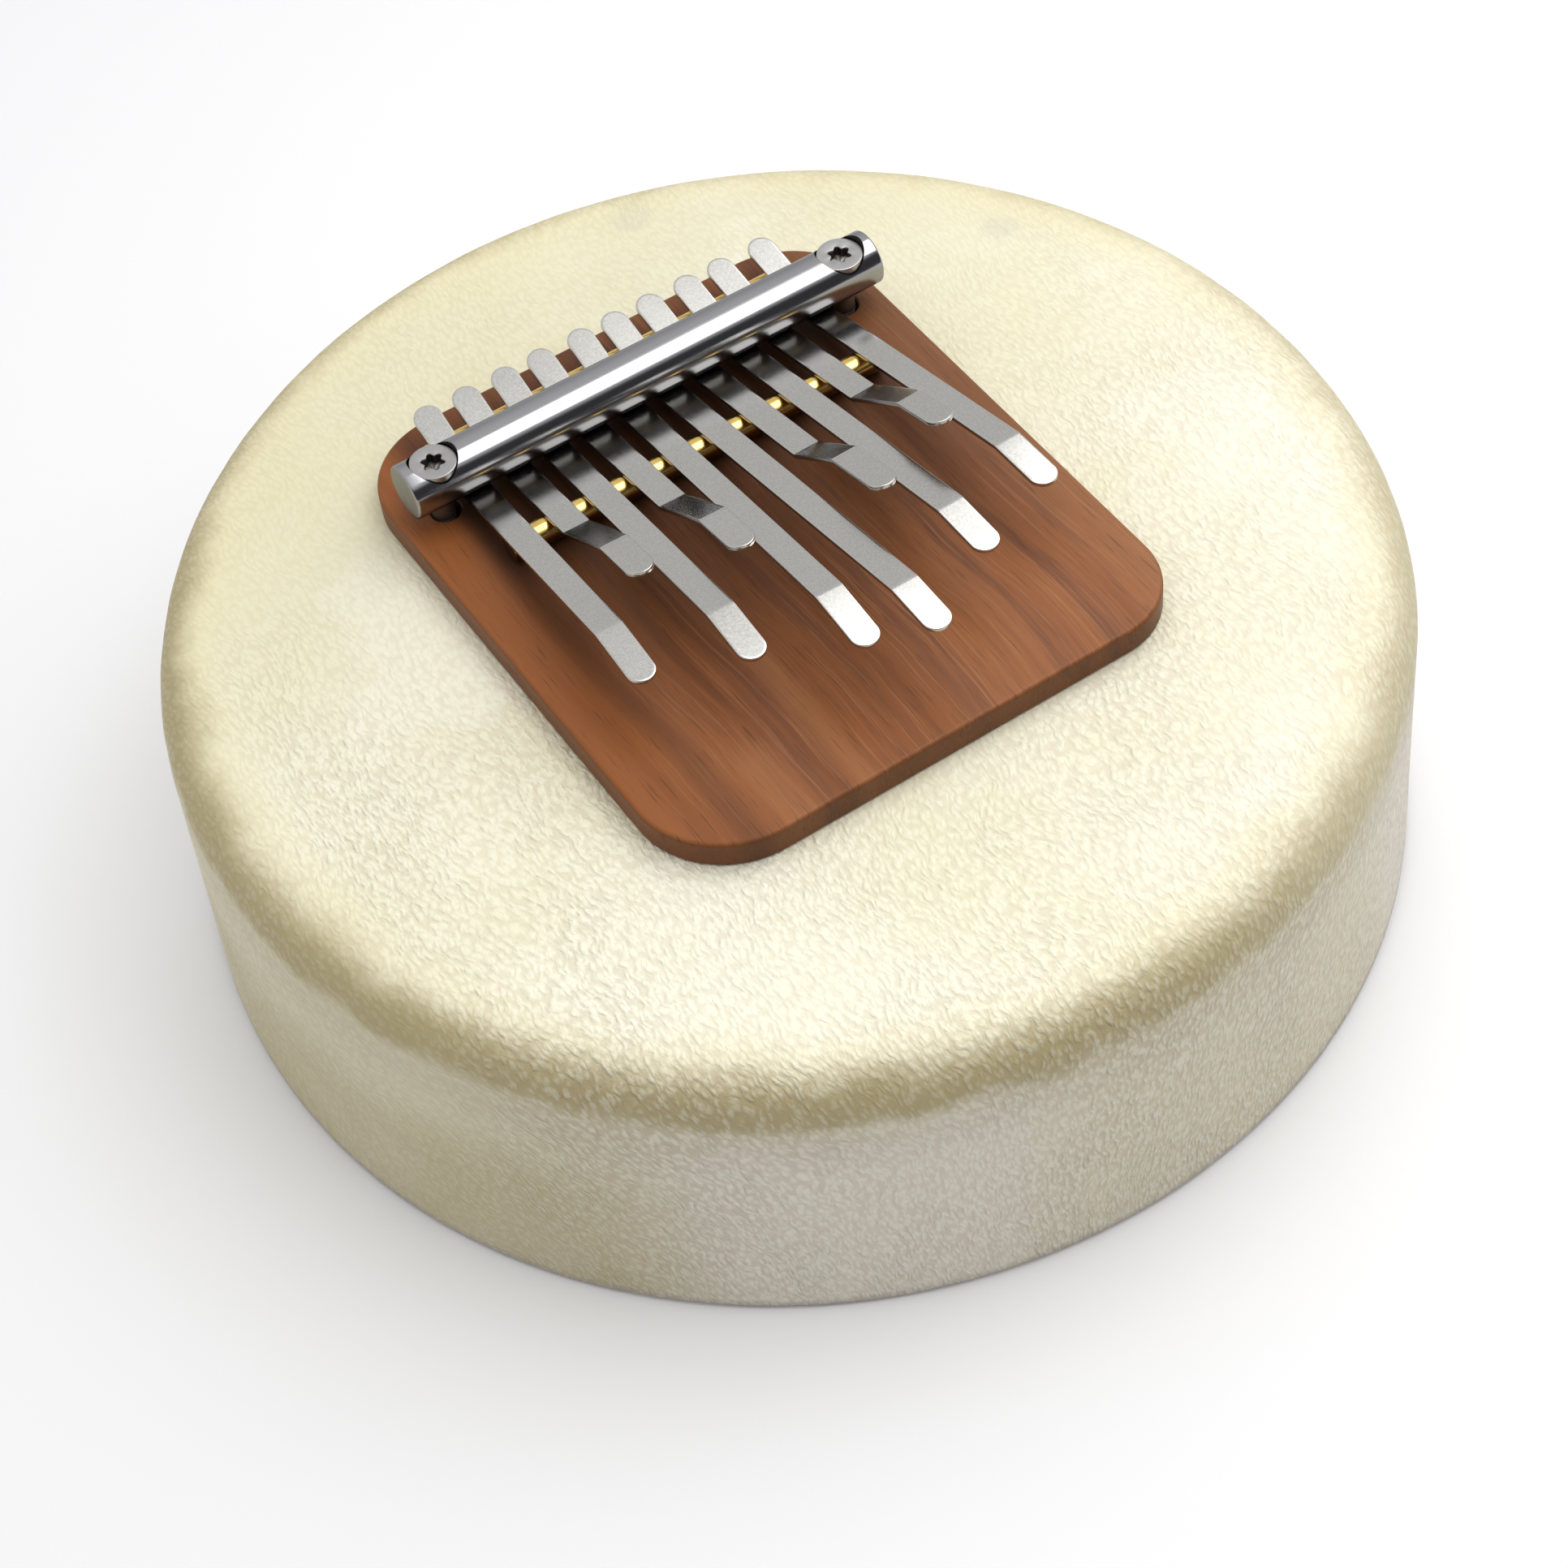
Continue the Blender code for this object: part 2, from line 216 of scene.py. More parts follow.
def hide_material():
    """Thin goatskin: cream, yellower round the rim and darkened there by painted shade, with grain strung in wavy
    lines.
    The hide_flat map unrolls the head and wall from the centre, in metres."""
    m = Mat("goatskin")
    uv = m.new("ShaderNodeUVMap", uv_map="hide_flat").outputs["UV"]
    ou, ov, _ = m.split(uv)
    x, y, z = m.split(m.obj)
    along = m.math('SQRT', m.add(m.mul(ou, ou), m.mul(ov, ov)))

    cloud = m.noise(m.mapped(vec=uv), 13.0, 4.0, 0.55)
    mottle = m.noise(m.mapped(vec=uv, loc=(2.0, 1.0, 0)), 70.0, 5.0, 0.62)
    base = m.ramp(cloud, [(0.30, (0.700, 0.650, 0.430)), (0.50, (0.745, 0.700, 0.495)), (0.72, (0.785, 0.745, 0.56))])
    base = m.mix(m.span(mottle, 0.35, 0.68, 0.0, 0.16), base, (0.85, 0.82, 0.67))
    # painted light: towards the front and right, where the lamps fall and the hide's sheen shows, the hide is painted
    # paler; at the rear and left it is yellower
    lean = m.add(m.mul(x, 0.55), m.mul(y, -0.83))
    frontal = m.add(m.mul(x, -0.8), m.mul(y, -0.6))
    base = m.mix(m.span(lean, -0.02, 0.10, 0.0, 0.42, smooth=True), base, (0.90, 0.87, 0.74))
    base = m.mix(m.span(frontal, 0.025, 0.105, 0.0, 0.72, smooth=True), base, (0.97, 0.94, 0.76))
    base = m.mix(m.span(lean, -0.03, -0.13, 0.0, 0.45, smooth=True), base, (0.76, 0.72, 0.46))
    blot = m.noise(m.mapped(vec=uv, loc=(4.4, 0.8, 0)), 19.0, 3.0, 0.5)
    base = m.mix(m.span(blot, 0.50, 0.66, 0.0, 0.30, smooth=True), base, (0.78, 0.74, 0.47))
    base = m.mix(m.span(blot, 0.47, 0.33, 0.0, 0.28, smooth=True), base, (0.96, 0.94, 0.84))
    # yellow-olive tone where the hide turns over the hoop, with an irregular lower edge: partly the hide's own yellower
    # colour, partly painted shade where the turn falls between the overhead light and the floor's bounce, painted
    # weaker on the lit right
    early = m.span(m.mul(x, -1.0), 0.080, 0.112, 0.0, 0.0016, smooth=True)
    ragged = m.add(along, early, m.mul(m.math('SUBTRACT', m.noise(m.mapped(vec=uv, loc=(0.4, 0.9, 0)), 60.0, 5.0, 0.65), 0.5), 0.012))
    base = m.mix(m.span(ragged, 0.1100, 0.1195, 0.0, 0.42, smooth=True), base, (0.80, 0.72, 0.44))
    rim_tone_and_shade = m.mul(m.span(ragged, 0.1165, 0.1275, 0.0, 1.0, smooth=True), m.span(ragged, 0.1310, 0.1400, 1.0, 0.0, smooth=True))
    rim_tone_and_shade = m.mul(rim_tone_and_shade, m.span(x, 0.0, 0.065, 0.95, 0.60, smooth=True))
    base = m.mix(rim_tone_and_shade, base, (0.400, 0.332, 0.160))
    # wall: greyer all round, yellower towards the player's left
    wall = m.span(ragged, 0.1300, 0.1390, 0.0, 1.0, smooth=True)
    left = m.span(m.add(m.mul(x, -0.966), m.mul(y, -0.259)), 0.1000, 0.1200, 0.0, 1.0, smooth=True)
    right = m.span(m.add(m.mul(x, 0.174), m.mul(y, -0.985)), 0.1140, 0.1255, 0.0, 1.0, smooth=True)
    low = m.span(m.add(along, m.mul(m.math('SUBTRACT', mottle, 0.5), 0.02)), 0.144, 0.168, 0.0, 1.0, smooth=True)
    side = m.mix(right, (0.735, 0.69, 0.58), (0.69, 0.635, 0.475))
    side = m.mix(left, side, m.mix(low, (0.635, 0.585, 0.40), (0.520, 0.460, 0.275)))
    side = m.mix(m.span(m.noise(m.mapped(vec=uv, loc=(5, 5, 0)), 30.0, 4.0, 0.6), 0.4, 0.7, 0.0, 0.3), side, (0.70, 0.65, 0.53))
    base = m.mix(wall, base, side)
    # painted shade: the darkening of the turn runs on just under it onto the top of the wall
    base = m.mix(m.mul(wall, m.span(along, 0.1340, 0.1500, 0.40, 0.0, smooth=True)), base, (0.50, 0.43, 0.29))
    # painted contact shade: the wall is painted darker along its foot beside the floor
    foot = m.span(z, 0.0032, 0.0012, 0.0, 0.7)
    base = m.mix(foot, base, (0.36, 0.32, 0.29))

    # grain: pebbles strung in wavy lines towards the player
    bend = m.noise(m.mapped(vec=uv, loc=(1.7, 0.3, 0)), 14.0, 2.0, 0.5)
    sway = m.noise(m.mapped(vec=uv, loc=(0.2, 2.3, 0)), 75.0, 2.0, 0.5)
    zigzag = m.noise(m.mapped(vec=uv, loc=(3.1, 1.3, 0)), 330.0, 1.0, 0.5)
    su = m.add(ou, m.mul(m.math('SUBTRACT', bend, 0.5), 0.016), m.mul(m.math('SUBTRACT', sway, 0.5), 0.0040),
               m.mul(m.math('SUBTRACT', zigzag, 0.5), 0.0016))
    lines = m.noise(m.join(su, m.mul(ov, 0.32), 0.0), 780.0, 1.5, 0.55)
    cell = m.cells(m.join(su, m.mul(ov, 0.52), 0.0), 800.0, 0.18, 0.80)
    tiny = m.noise(m.mapped(vec=uv, scale=(1.0, 0.6, 1.0)), 2000.0, 1.0, 0.6)
    crease = m.noise(m.mapped(vec=uv, scale=(1.0, 0.5, 1.0)), 150.0, 3.0, 0.6, 0.5)
    patch = m.span(m.noise(m.mapped(vec=uv, loc=(0.7, 0.2, 0)), 24.0, 2.0), 0.36, 0.62, 0.60, 1.0)
    smooth_left = m.span(x, -0.119, -0.100, 0.45, 1.0, smooth=True)
    grain = m.add(m.mul(m.span(lines, 0.34, 0.66), 0.38), m.mul(m.span(cell, 0.62, 0.12), 0.50), m.mul(m.span(tiny, 0.35, 0.65), 0.12))
    # strongest round the front left and on the wall, weakest at the rear
    strong = m.mul(m.span(frontal, 0.03, 0.10, 1.0, 1.45, smooth=True), m.span(y, 0.0, 0.06, 1.0, 0.62, smooth=True))
    strong = m.math('MAXIMUM', strong, m.span(along, 0.124, 0.136, 0.0, 1.6, smooth=True))
    lively = m.mul(m.mul(patch, smooth_left), strong)
    h = m.add(m.mul(grain, lively), m.mul(crease, 0.20))
    valley_tone_and_shade = m.mul(m.span(grain, 0.56, 0.22), lively)
    crest_tone_and_highlight = m.mul(m.span(grain, 0.44, 0.78), lively)
    # partly the hide's own tone, partly painted light: the grain's valleys are painted darker as shade and its crests
    # paler as highlight
    base = m.mix(m.mul(valley_tone_and_shade, 0.36), base, m.mix(0.5, base, (0.44, 0.33, 0.24)))
    base = m.mix(m.mul(crest_tone_and_highlight, 0.30), base, m.mix(0.5, base, (1.0, 0.98, 0.93)))

    # a few blemishes in the skin
    for bx, by, bz, r, amount, tone in ((-0.0995, -0.0790, 0.020, 0.0022, 0.75, (0.42, 0.30, 0.17)),
                                        (0.0950, 0.0550, 0.069, 0.0050, 0.22, (0.50, 0.46, 0.44)),
                                        (0.0330, 0.1080, 0.069, 0.0060, 0.20, (0.52, 0.48, 0.44))):
        d = m.new("ShaderNodeVectorMath", operation='DISTANCE')
        m.link(m.obj, d.inputs[0])
        d.inputs[1].default_value = (bx, by, bz)
        near = m.span(m.add(d.outputs["Value"], m.mul(m.math('SUBTRACT', mottle, 0.5), r)), r * 0.4, r, amount, 0.0, smooth=True)
        base = m.mix(near, base, tone)

    m.set(Base_Color=base, Roughness=m.span(grain, 0.2, 0.8, 0.60, 0.42))
    m.bsdf.inputs["Specular IOR Level"].default_value = 0.42
    m.set(Normal=m.bump(h, 1.0, 0.00036))
    return m.mat


def wood_material():
    """Oiled cherry, grain along the tines, with the ends and sides darker."""
    m = Mat("cherry_plate")
    x, y, z = m.split(m.obj)
    drift = m.noise(m.mapped(scale=(0.5, 1.0, 1.0)), 11.0, 3.0, 0.5)
    wx = m.add(x, m.mul(m.math('SUBTRACT', drift, 0.5), 0.014))
    gx = m.join(wx, m.mul(y, 0.055), m.mul(z, 0.6))
    broad = m.noise(gx, 55.0, 4.0, 0.58, 0.25)
    streak = m.noise(m.join(wx, m.mul(y, 0.045), m.mul(z, 0.5)), 330.0, 5.0, 0.66, 0.15)
    fine = m.noise(m.join(wx, m.mul(y, 0.02), m.mul(z, 0.5)), 1500.0, 3.0, 0.6)
    base = m.ramp(broad, [(0.28, (0.132, 0.041, 0.0105)), (0.44, (0.208, 0.067, 0.0175)),
                          (0.58, (0.274, 0.093, 0.027)), (0.76, (0.335, 0.124, 0.040))])
    # heartwood figure: dark bands right of the middle, quieter wood at the left
    bands = m.bell(wx, -0.0275, 0.0050)
    for centre, width, amount in ((-0.0085, 0.0050, 0.55), (0.0095, 0.0045, 0.7), (0.0285, 0.0060, 0.55), (0.0400, 0.0055, 1.0)):
        bands = m.math('MAXIMUM', bands, m.mul(m.bell(wx, centre, width), amount))
    figure = m.mul(bands, m.span(streak, 0.34, 0.60, 1.0, 0.1))
    base = m.mix(m.mul(figure, 0.80), base, (0.080, 0.030, 0.018))
    base = m.mix(m.span(streak, 0.50, 0.30, 0.0, 0.50), base, (0.110, 0.042, 0.022))
    base = m.mix(m.mul(m.span(fine, 0.54, 0.70, 0.0, 0.55), m.span(x, -0.055, -0.01, 0.4, 1.0)), base, (0.38, 0.160, 0.065))
    warm = m.span(m.add(m.mul(x, -1.0), m.mul(y, 0.15)), 0.030, 0.056, 0.0, 0.55, smooth=True)
    base = m.mix(warm, base, (0.275, 0.084, 0.018))
    base = m.mix(m.span(x, 0.0465, 0.0560, 0.0, 0.40, smooth=True), base, (0.370, 0.160, 0.062))
    base = m.mix(m.mul(m.bell(wx, -0.0440, 0.0050), 0.42), base, (0.085, 0.030, 0.012))
    base = m.mix(m.mul(m.bell(wx, -0.0195, 0.0045), 0.40), base, (0.375, 0.155, 0.055))
    front = m.span(y, -0.034, -0.046, 0.0, 0.30, smooth=True)
    base = m.mix(m.mul(m.bell(wx, -0.0350, 0.0060), front), base, (0.400, 0.170, 0.060))
    # pores: short dark hairlines
    pores = m.noise(m.join(x, m.mul(y, 0.035), m.mul(z, 0.3)), 2600.0, 1.0, 0.5)
    pore = m.span(pores, 0.62, 0.74, 0.0, 0.50)
    base = m.mix(pore, base, (0.060, 0.022, 0.013))
    # the cut edges drink more oil
    g = m.new("ShaderNodeNewGeometry")
    nx, ny, nz = m.split(g.outputs["Normal"])
    edge = m.span(nz, 0.85, 0.25, 0.0, 0.70, smooth=True)
    base = m.mix(edge, base, m.mix(0.75, base, (0.085, 0.038, 0.018)))
    # painted shade, with some darkening from old oil: the wood is darker under the clamp and, less, under the springs,
    # where they shade it
    springs_oil_and_shade = m.mul(m.span(y, -0.036, 0.014, 0.0, 0.40, smooth=True), m.span(x, -0.053, -0.044, 0.0, 1.0, smooth=True))
    base = m.mix(springs_oil_and_shade, base, (0.045, 0.020, 0.011))
    bar_oil_and_shade = m.mul(m.span(y, (BAR_Y - 34.0) * MM, (BAR_Y - 20.0) * MM, 0.0, 1.0, smooth=True), m.span(y, (BAR_Y + 18.0) * MM, (BAR_Y + 13.0) * MM, 0.0, 1.0, smooth=True))
    between = m.mul(m.span(x, -0.048, -0.044, 0.0, 1.0, smooth=True), m.span(x, 0.050, 0.046, 0.0, 1.0, smooth=True))
    base = m.mix(m.mul(m.mul(bar_oil_and_shade, between), 0.66), base, (0.030, 0.015, 0.010))
    m.set(Base_Color=base, Roughness=m.span(streak, 0.3, 0.7, 0.40, 0.52))
    m.bsdf.inputs["Specular IOR Level"].default_value = 0.22
    height = m.add(m.mul(pore, -1.0), m.mul(streak, 0.6), m.mul(fine, 0.25))
    m.set(Normal=m.bump(height, 0.22, 0.00016))
    return m.mat


def hoop_material():
    """Bent hardwood strip, grain running round the drum."""
    m = Mat("bent_hoop")
    x, y, z = m.split(m.obj)
    angle = m.math('ARCTAN2', y, x)
    round_ = m.join(m.mul(angle, 0.115), m.mul(z, 9.0), m.mul(m.math('SQRT', m.add(m.mul(x, x), m.mul(y, y))), 9.0))
    broad = m.noise(round_, 9.0, 4.0, 0.55, 0.4)
    streak = m.noise(round_, 60.0, 5.0, 0.62, 0.2)
    base = m.ramp(broad, [(0.3, (0.44, 0.29, 0.16)), (0.55, (0.58, 0.41, 0.24)), (0.8, (0.68, 0.50, 0.31))])
    base = m.mix(m.span(streak, 0.50, 0.30, 0.0, 0.5), base, (0.33, 0.20, 0.10))
    pores = m.noise(m.join(m.mul(angle, 0.115 * 0.06), z, 0.0), 1600.0, 2.0, 0.5)
    base = m.mix(m.span(pores, 0.62, 0.72, 0.0, 0.45), base, (0.25, 0.14, 0.07))
    m.set(Base_Color=base, Roughness=0.6, Normal=m.bump(m.add(streak, m.mul(pores, -0.4)), 0.25, 0.0002))
    return m.mat


def steel_material(name, colour, rough, stretch=(1.0, 1.0, 1.0), lines=2400.0, depth=0.00003, blotch=0.12, strength=0.25, socket=False, shade=False):
    """Steel with fine finishing marks; stretch lengthens them along an axis."""
    m = Mat(name)
    marks = m.noise(m.mapped(scale=stretch), lines, 4.0, 0.65)
    wear = m.noise(m.mapped(), 90.0, 4.0, 0.6)
    speck = m.noise(m.mapped(), 1300.0, 2.0, 0.6)
    base = m.mix(m.span(wear, 0.38, 0.72, 0.0, blotch), colour, tuple(c * 0.72 for c in colour))
    base = m.mix(m.span(speck, 0.68, 0.80, 0.0, 0.22), base, tuple(c * 0.5 for c in colour))
    shine = m.span(m.add(m.mul(marks, 0.6), m.mul(wear, 0.4)), 0.36, 0.64, rough[0], rough[1])
    if socket:
        # painted shade in the driver's socket, partly its own dark forging skin, with the socket floor painted lighter
        x, y, z = m.split(m.obj)
        dy = m.math('SUBTRACT', y, BAR_Y * MM)
        near = None
        for sx in SCREW_X:
            dx = m.math('SUBTRACT', x, sx * MM)
            d = m.math('SQRT', m.add(m.mul(dx, dx), m.mul(dy, dy)))
            near = d if near is None else m.math('MINIMUM', near, d)
        inside = m.mul(m.span(near, 0.00300, 0.00285), m.span(z, (HEAD_TOP - 0.10) * MM, (HEAD_TOP - 0.55) * MM))
        floor_lift = m.span(z, (HEAD_TOP - RECESS_DEPTH + 0.1) * MM, (HEAD_TOP - RECESS_DEPTH - 0.1) * MM, 0.0, 0.45)
        dark = m.mix(floor_lift, (0.085, 0.075, 0.068), (0.50, 0.47, 0.44))
        base = m.mix(inside, base, dark)
        shine = m.math('MAXIMUM', shine, m.mul(inside, 0.5))
    if shade:
        # tumbled finish: a fine mottle
        grit = m.noise(m.mapped(), 2300.0, 1.5, 0.6)
        base = m.mix(m.span(grit, 0.36, 0.64, 0.0, 0.30), base, tuple(c * 0.6 for c in colour))
        # painted shade: the springs are painted darker beside and below the clamp bar, where it shades them
        y = m.split(m.obj)[1]
        bar_shade = m.span(y, (BAR_Y - 19.3) * MM, (BAR_Y - 16.2) * MM, 0.0, 1.0, smooth=True)
        bar_shade = m.mul(bar_shade, m.span(y, (BAR_Y + 9.0) * MM, (BAR_Y + 6.0) * MM, 0.0, 1.0, smooth=True))
        base = m.mix(bar_shade, base, tuple(c * 0.58 for c in colour))
    m.set(Base_Color=base, Metallic=1.0, Roughness=shine)
    m.set(Normal=m.bump(marks, strength, depth))
    return m.mat


def turned_material(name, colour, rough, axis):
    """Lathe-turned steel: feed marks lie in planes across the axis and draw
    circles on the end faces."""
    m = Mat(name)
    x, y, z = m.split(m.obj)
    b, c = m.math('SUBTRACT', y, BAR_Y * MM), m.math('SUBTRACT', z, BAR_Z * MM)
    pos = m.join(x, m.math('SQRT', m.add(m.mul(b, b), m.mul(c, c))), 0.0)
    feed = m.noise(pos, 2200.0, 3.0, 0.7)
    faint = m.noise(m.mapped(scale=(0.08, 1.0, 1.0)), 420.0, 3.0, 0.6)
    wear = m.noise(m.mapped(), 70.0, 4.0, 0.6)
    base = m.mix(m.span(wear, 0.42, 0.75, 0.0, 0.12), colour, tuple(c * 0.75 for c in colour))
    shine = m.span(m.add(m.mul(feed, 0.5), m.mul(faint, 0.3), m.mul(wear, 0.2)), 0.35, 0.65, rough[0], rough[1])
    # painted shade: the counterbore walls are painted near black
    near = None
    for sx in SCREW_X:
        dx, dy = m.math('SUBTRACT', x, sx * MM), m.math('SUBTRACT', y, BAR_Y * MM)
        d = m.math('SQRT', m.add(m.mul(dx, dx), m.mul(dy, dy)))
        near = d if near is None else m.math('MINIMUM', near, d)
    bore_wall_shade = m.span(near, (HEAD_R + 0.34) * MM, (HEAD_R + 0.30) * MM)
    base = m.mix(bore_wall_shade, base, (0.060, 0.055, 0.052))
    m.set(Base_Color=base, Metallic=1.0, Roughness=m.math('MAXIMUM', shine, m.mul(bore_wall_shade, 0.5)))
    m.set(Normal=m.bump(m.add(m.mul(feed, 0.7), m.mul(faint, 0.5)), 0.22, 0.000012))
    # the feed marks spread reflections along the axis
    around = m.new("ShaderNodeTangent", direction_type='RADIAL', axis=axis)
    m.set(Tangent=around.outputs["Tangent"])
    m.bsdf.inputs["Specular Tint"].default_value = (0.58, 0.58, 0.60, 1.0)
    m.bsdf.inputs["Anisotropic"].default_value = 0.8
    m.bsdf.inputs["Anisotropic Rotation"].default_value = 0.25
    return m.mat


def brass_material():
    m = Mat("brass_rod")
    draw = m.noise(m.mapped(scale=(0.04, 1, 1)), 1800.0, 3.0, 0.6)
    tarnish = m.noise(m.mapped(), 110.0, 4.0, 0.6)
    base = m.mix(m.span(tarnish, 0.42, 0.75, 0.0, 0.45), (0.80, 0.56, 0.17), (0.44, 0.25, 0.07))
    # painted shade: the lower flank and underside are painted dark brown, partly a dull brown film
    nz = m.split(m.new("ShaderNodeNewGeometry").outputs["Normal"])[2]
    base = m.mix(m.span(nz, 0.60, 0.10, 0.0, 0.85, smooth=True), base, (0.16, 0.075, 0.020))
    m.set(Base_Color=base, Metallic=1.0)
    m.set(Roughness=m.span(m.add(m.mul(draw, 0.6), m.mul(tarnish, 0.4)), 0.36, 0.64, 0.11, 0.20))
    m.set(Normal=m.bump(draw, 0.2, 0.00002))
    return m.mat


HIDE = hide_material()
WOOD = wood_material()
HOOP = hoop_material()
TINE = steel_material("spring_steel", (0.550, 0.536, 0.510), (0.15, 0.22), (1.0, 0.5, 1.0), 1900.0, 0.000010, 0.10, 0.03, shade=True)
BAR = turned_material("turned_bar", (0.360, 0.360, 0.372), (0.15, 0.21), 'X')
SCREW = steel_material("screw_steel", (0.42, 0.41, 0.40), (0.34, 0.42), (1.0, 1.0, 0.2), 1400.0, 0.000015, 0.10, 0.25, socket=True)
HARD = steel_material("plated_steel", (0.60, 0.60, 0.58), (0.24, 0.38), (1.0, 1.0, 0.2), 1400.0, 0.00003, 0.2, 0.3)
BRASS = brass_material()

# ---- mesh helpers -------------------------------------------------------------------------


def add_piece(name, verts, faces, mat, nodes, slot, angle=None, body="instrument", ride=True):
    """Make an object from millimetre points, facing outwards, standing for CAD nodes."""
    mesh = bpy.data.meshes.new(name)
    mesh.from_pydata((np.asarray(verts, dtype=float) * MM).tolist(), [], faces)
    bm = bmesh.new()
    bm.from_mesh(mesh)
    bmesh.ops.recalc_face_normals(bm, faces=bm.faces)
    bm.to_mesh(mesh)
    bm.free()
    mesh.materials.append(mat)
    mesh.shade_smooth()
    if angle is not None:
        mesh.set_sharp_from_angle(angle=math.radians(angle))
    ob = bpy.data.objects.new(name, mesh)
    bpy.context.scene.collection.objects.link(ob)
    if nodes:
        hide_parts(*nodes)
    if ride:
        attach(ob, body)
    return ob


def lathe(profile, segments, ring=False):
    """Turn (r, h) points round the h axis; returns points (x, y, h) and faces."""
    verts, faces, rows = [], [], []
    for r, h in profile:
        start = len(verts)
        if r < 1e-9:
            verts.append((0.0, 0.0, h))
            rows.append([start])
        else:
            for k in range(segments):
                a = TAU * k / segments
                verts.append((r * math.cos(a), r * math.sin(a), h))
            rows.append(list(range(start, start + segments)))
    pairs = list(zip(rows, rows[1:]))
    if ring:
        pairs.append((rows[-1], rows[0]))
    for a, b in pairs:
        for k in range(segments):
            n = (k + 1) % segments
            if len(a) == 1:
                faces.append((a[0], b[n], b[k]))
            elif len(b) == 1:
                faces.append((a[k], a[n], b[0]))
            else:
                faces.append((a[k], a[n], b[n], b[k]))
    return verts, faces


def stack(outlines, cap_low=True, cap_top=True):
    """Join outlines of equal length; the ends are closed with one face each."""
    verts, faces = [], []
    n = len(outlines[0])
    for row in outlines:
        verts += row
    for i in range(len(outlines) - 1):
        for k in range(n):
            j = (k + 1) % n
            faces.append((i * n + k, i * n + j, (i + 1) * n + j, (i + 1) * n + k))
    if cap_low:
        faces.append(tuple(range(n)))
    if cap_top:
        faces.append(tuple(range((len(outlines) - 1) * n, len(outlines) * n)))
    return verts, faces


def along_x(verts, x0, y, z):
    """Lay a lathe's axis along +X."""
    return [(x0 + h, y + b, z + a) for a, b, h in verts]


def moved(verts, dx, dy, dz=0.0):
    return [(x + dx, y + dy, z + dz) for x, y, z in verts]


def quarter(cx, cy, r, a0, a1, n):
    return [(cx + r * math.cos(math.radians(a0 + (a1 - a0) * k / n)),
             cy + r * math.sin(math.radians(a0 + (a1 - a0) * k / n))) for k in range(n + 1)]


def carve(ob, cutters, angle):
    """Subtract the cutters for good and keep crisp edges where faces meet."""
    for c in cutters:
        mod = ob.modifiers.new("carve", 'BOOLEAN')
        mod.operation = 'DIFFERENCE'
        mod.solver = 'EXACT'
        mod.object = c
    bpy.context.view_layer.update()
    done = bpy.data.meshes.new_from_object(ob.evaluated_get(bpy.context.evaluated_depsgraph_get()))
    ob.modifiers.clear()
    old = ob.data
    mat = old.materials[0]
    ob.data = done
    done.name = old.name + "_cut"
    done.materials.clear()
    done.materials.append(mat)
    done.polygons.foreach_set("material_index", [0] * len(done.polygons))
    done.shade_smooth()
    done.set_sharp_from_angle(angle=math.radians(angle))
    for c in cutters:
        mesh = c.data
        bpy.data.objects.remove(c, do_unlink=True)
        bpy.data.meshes.remove(mesh)


def cutter(name, verts, faces):
    mesh = bpy.data.meshes.new(name)
    mesh.from_pydata((np.asarray(verts, dtype=float) * MM).tolist(), [], faces)
    bm = bmesh.new()
    bm.from_mesh(mesh)
    bmesh.ops.recalc_face_normals(bm, faces=bm.faces)
    bm.to_mesh(mesh)
    bm.free()
    ob = bpy.data.objects.new(name, mesh)
    bpy.context.scene.collection.objects.link(ob)
    return ob


def mark_flats(ob):
    """Weight the normals by face area, so broad faces stay flat beside small roundings."""
    mod = ob.modifiers.new("weighted", 'WEIGHTED_NORMAL')
    mod.keep_sharp = True
    mod.weight = 100


# ---- hide ------------------------------------------------------------------------------------
RIM_C, RIM_Z = SKIN_R - RIM_R, SKIN_TOP - RIM_R
TURN = RIM_R * math.pi / 2
WALL = math.hypot(FLARE * (RIM_Z - SKIN_FOOT) / RIM_Z, RIM_Z - SKIN_FOOT)


def out_of_round(theta, r):
    """How far (mm) the hoop and the hide over it stand in at the rear."""
    def ease(v):
        v = min(1.0, max(0.0, v))
        return v * v * (3 - 2 * v)
    a = (math.degrees(theta) + 90.0) % 360.0 - 90.0
    return 1.15 * ease((a + 46.0) / 50.0) * ease((212.0 - a) / 40.0) * ease((r - 92.0) / 24.0)


def hide_point(s, inset=0.0):
    """(r, z, normal r, normal z) of the hide's outside, at s mm from the centre
    measured over the surface, set in by inset."""
    if s <= RIM_C:
        return s, SKIN_TOP - inset, 0.0, 1.0
    if s <= RIM_C + TURN:
        a = math.pi / 2 - (s - RIM_C) / RIM_R
        return (RIM_C + (RIM_R - inset) * math.cos(a), RIM_Z + (RIM_R - inset) * math.sin(a), math.cos(a), math.sin(a))
    f = (s - RIM_C - TURN) / WALL
    z = RIM_Z + (SKIN_FOOT - RIM_Z) * f
    return SKIN_R + FLARE * (RIM_Z - z) / RIM_Z - inset, z, 1.0, 0.0


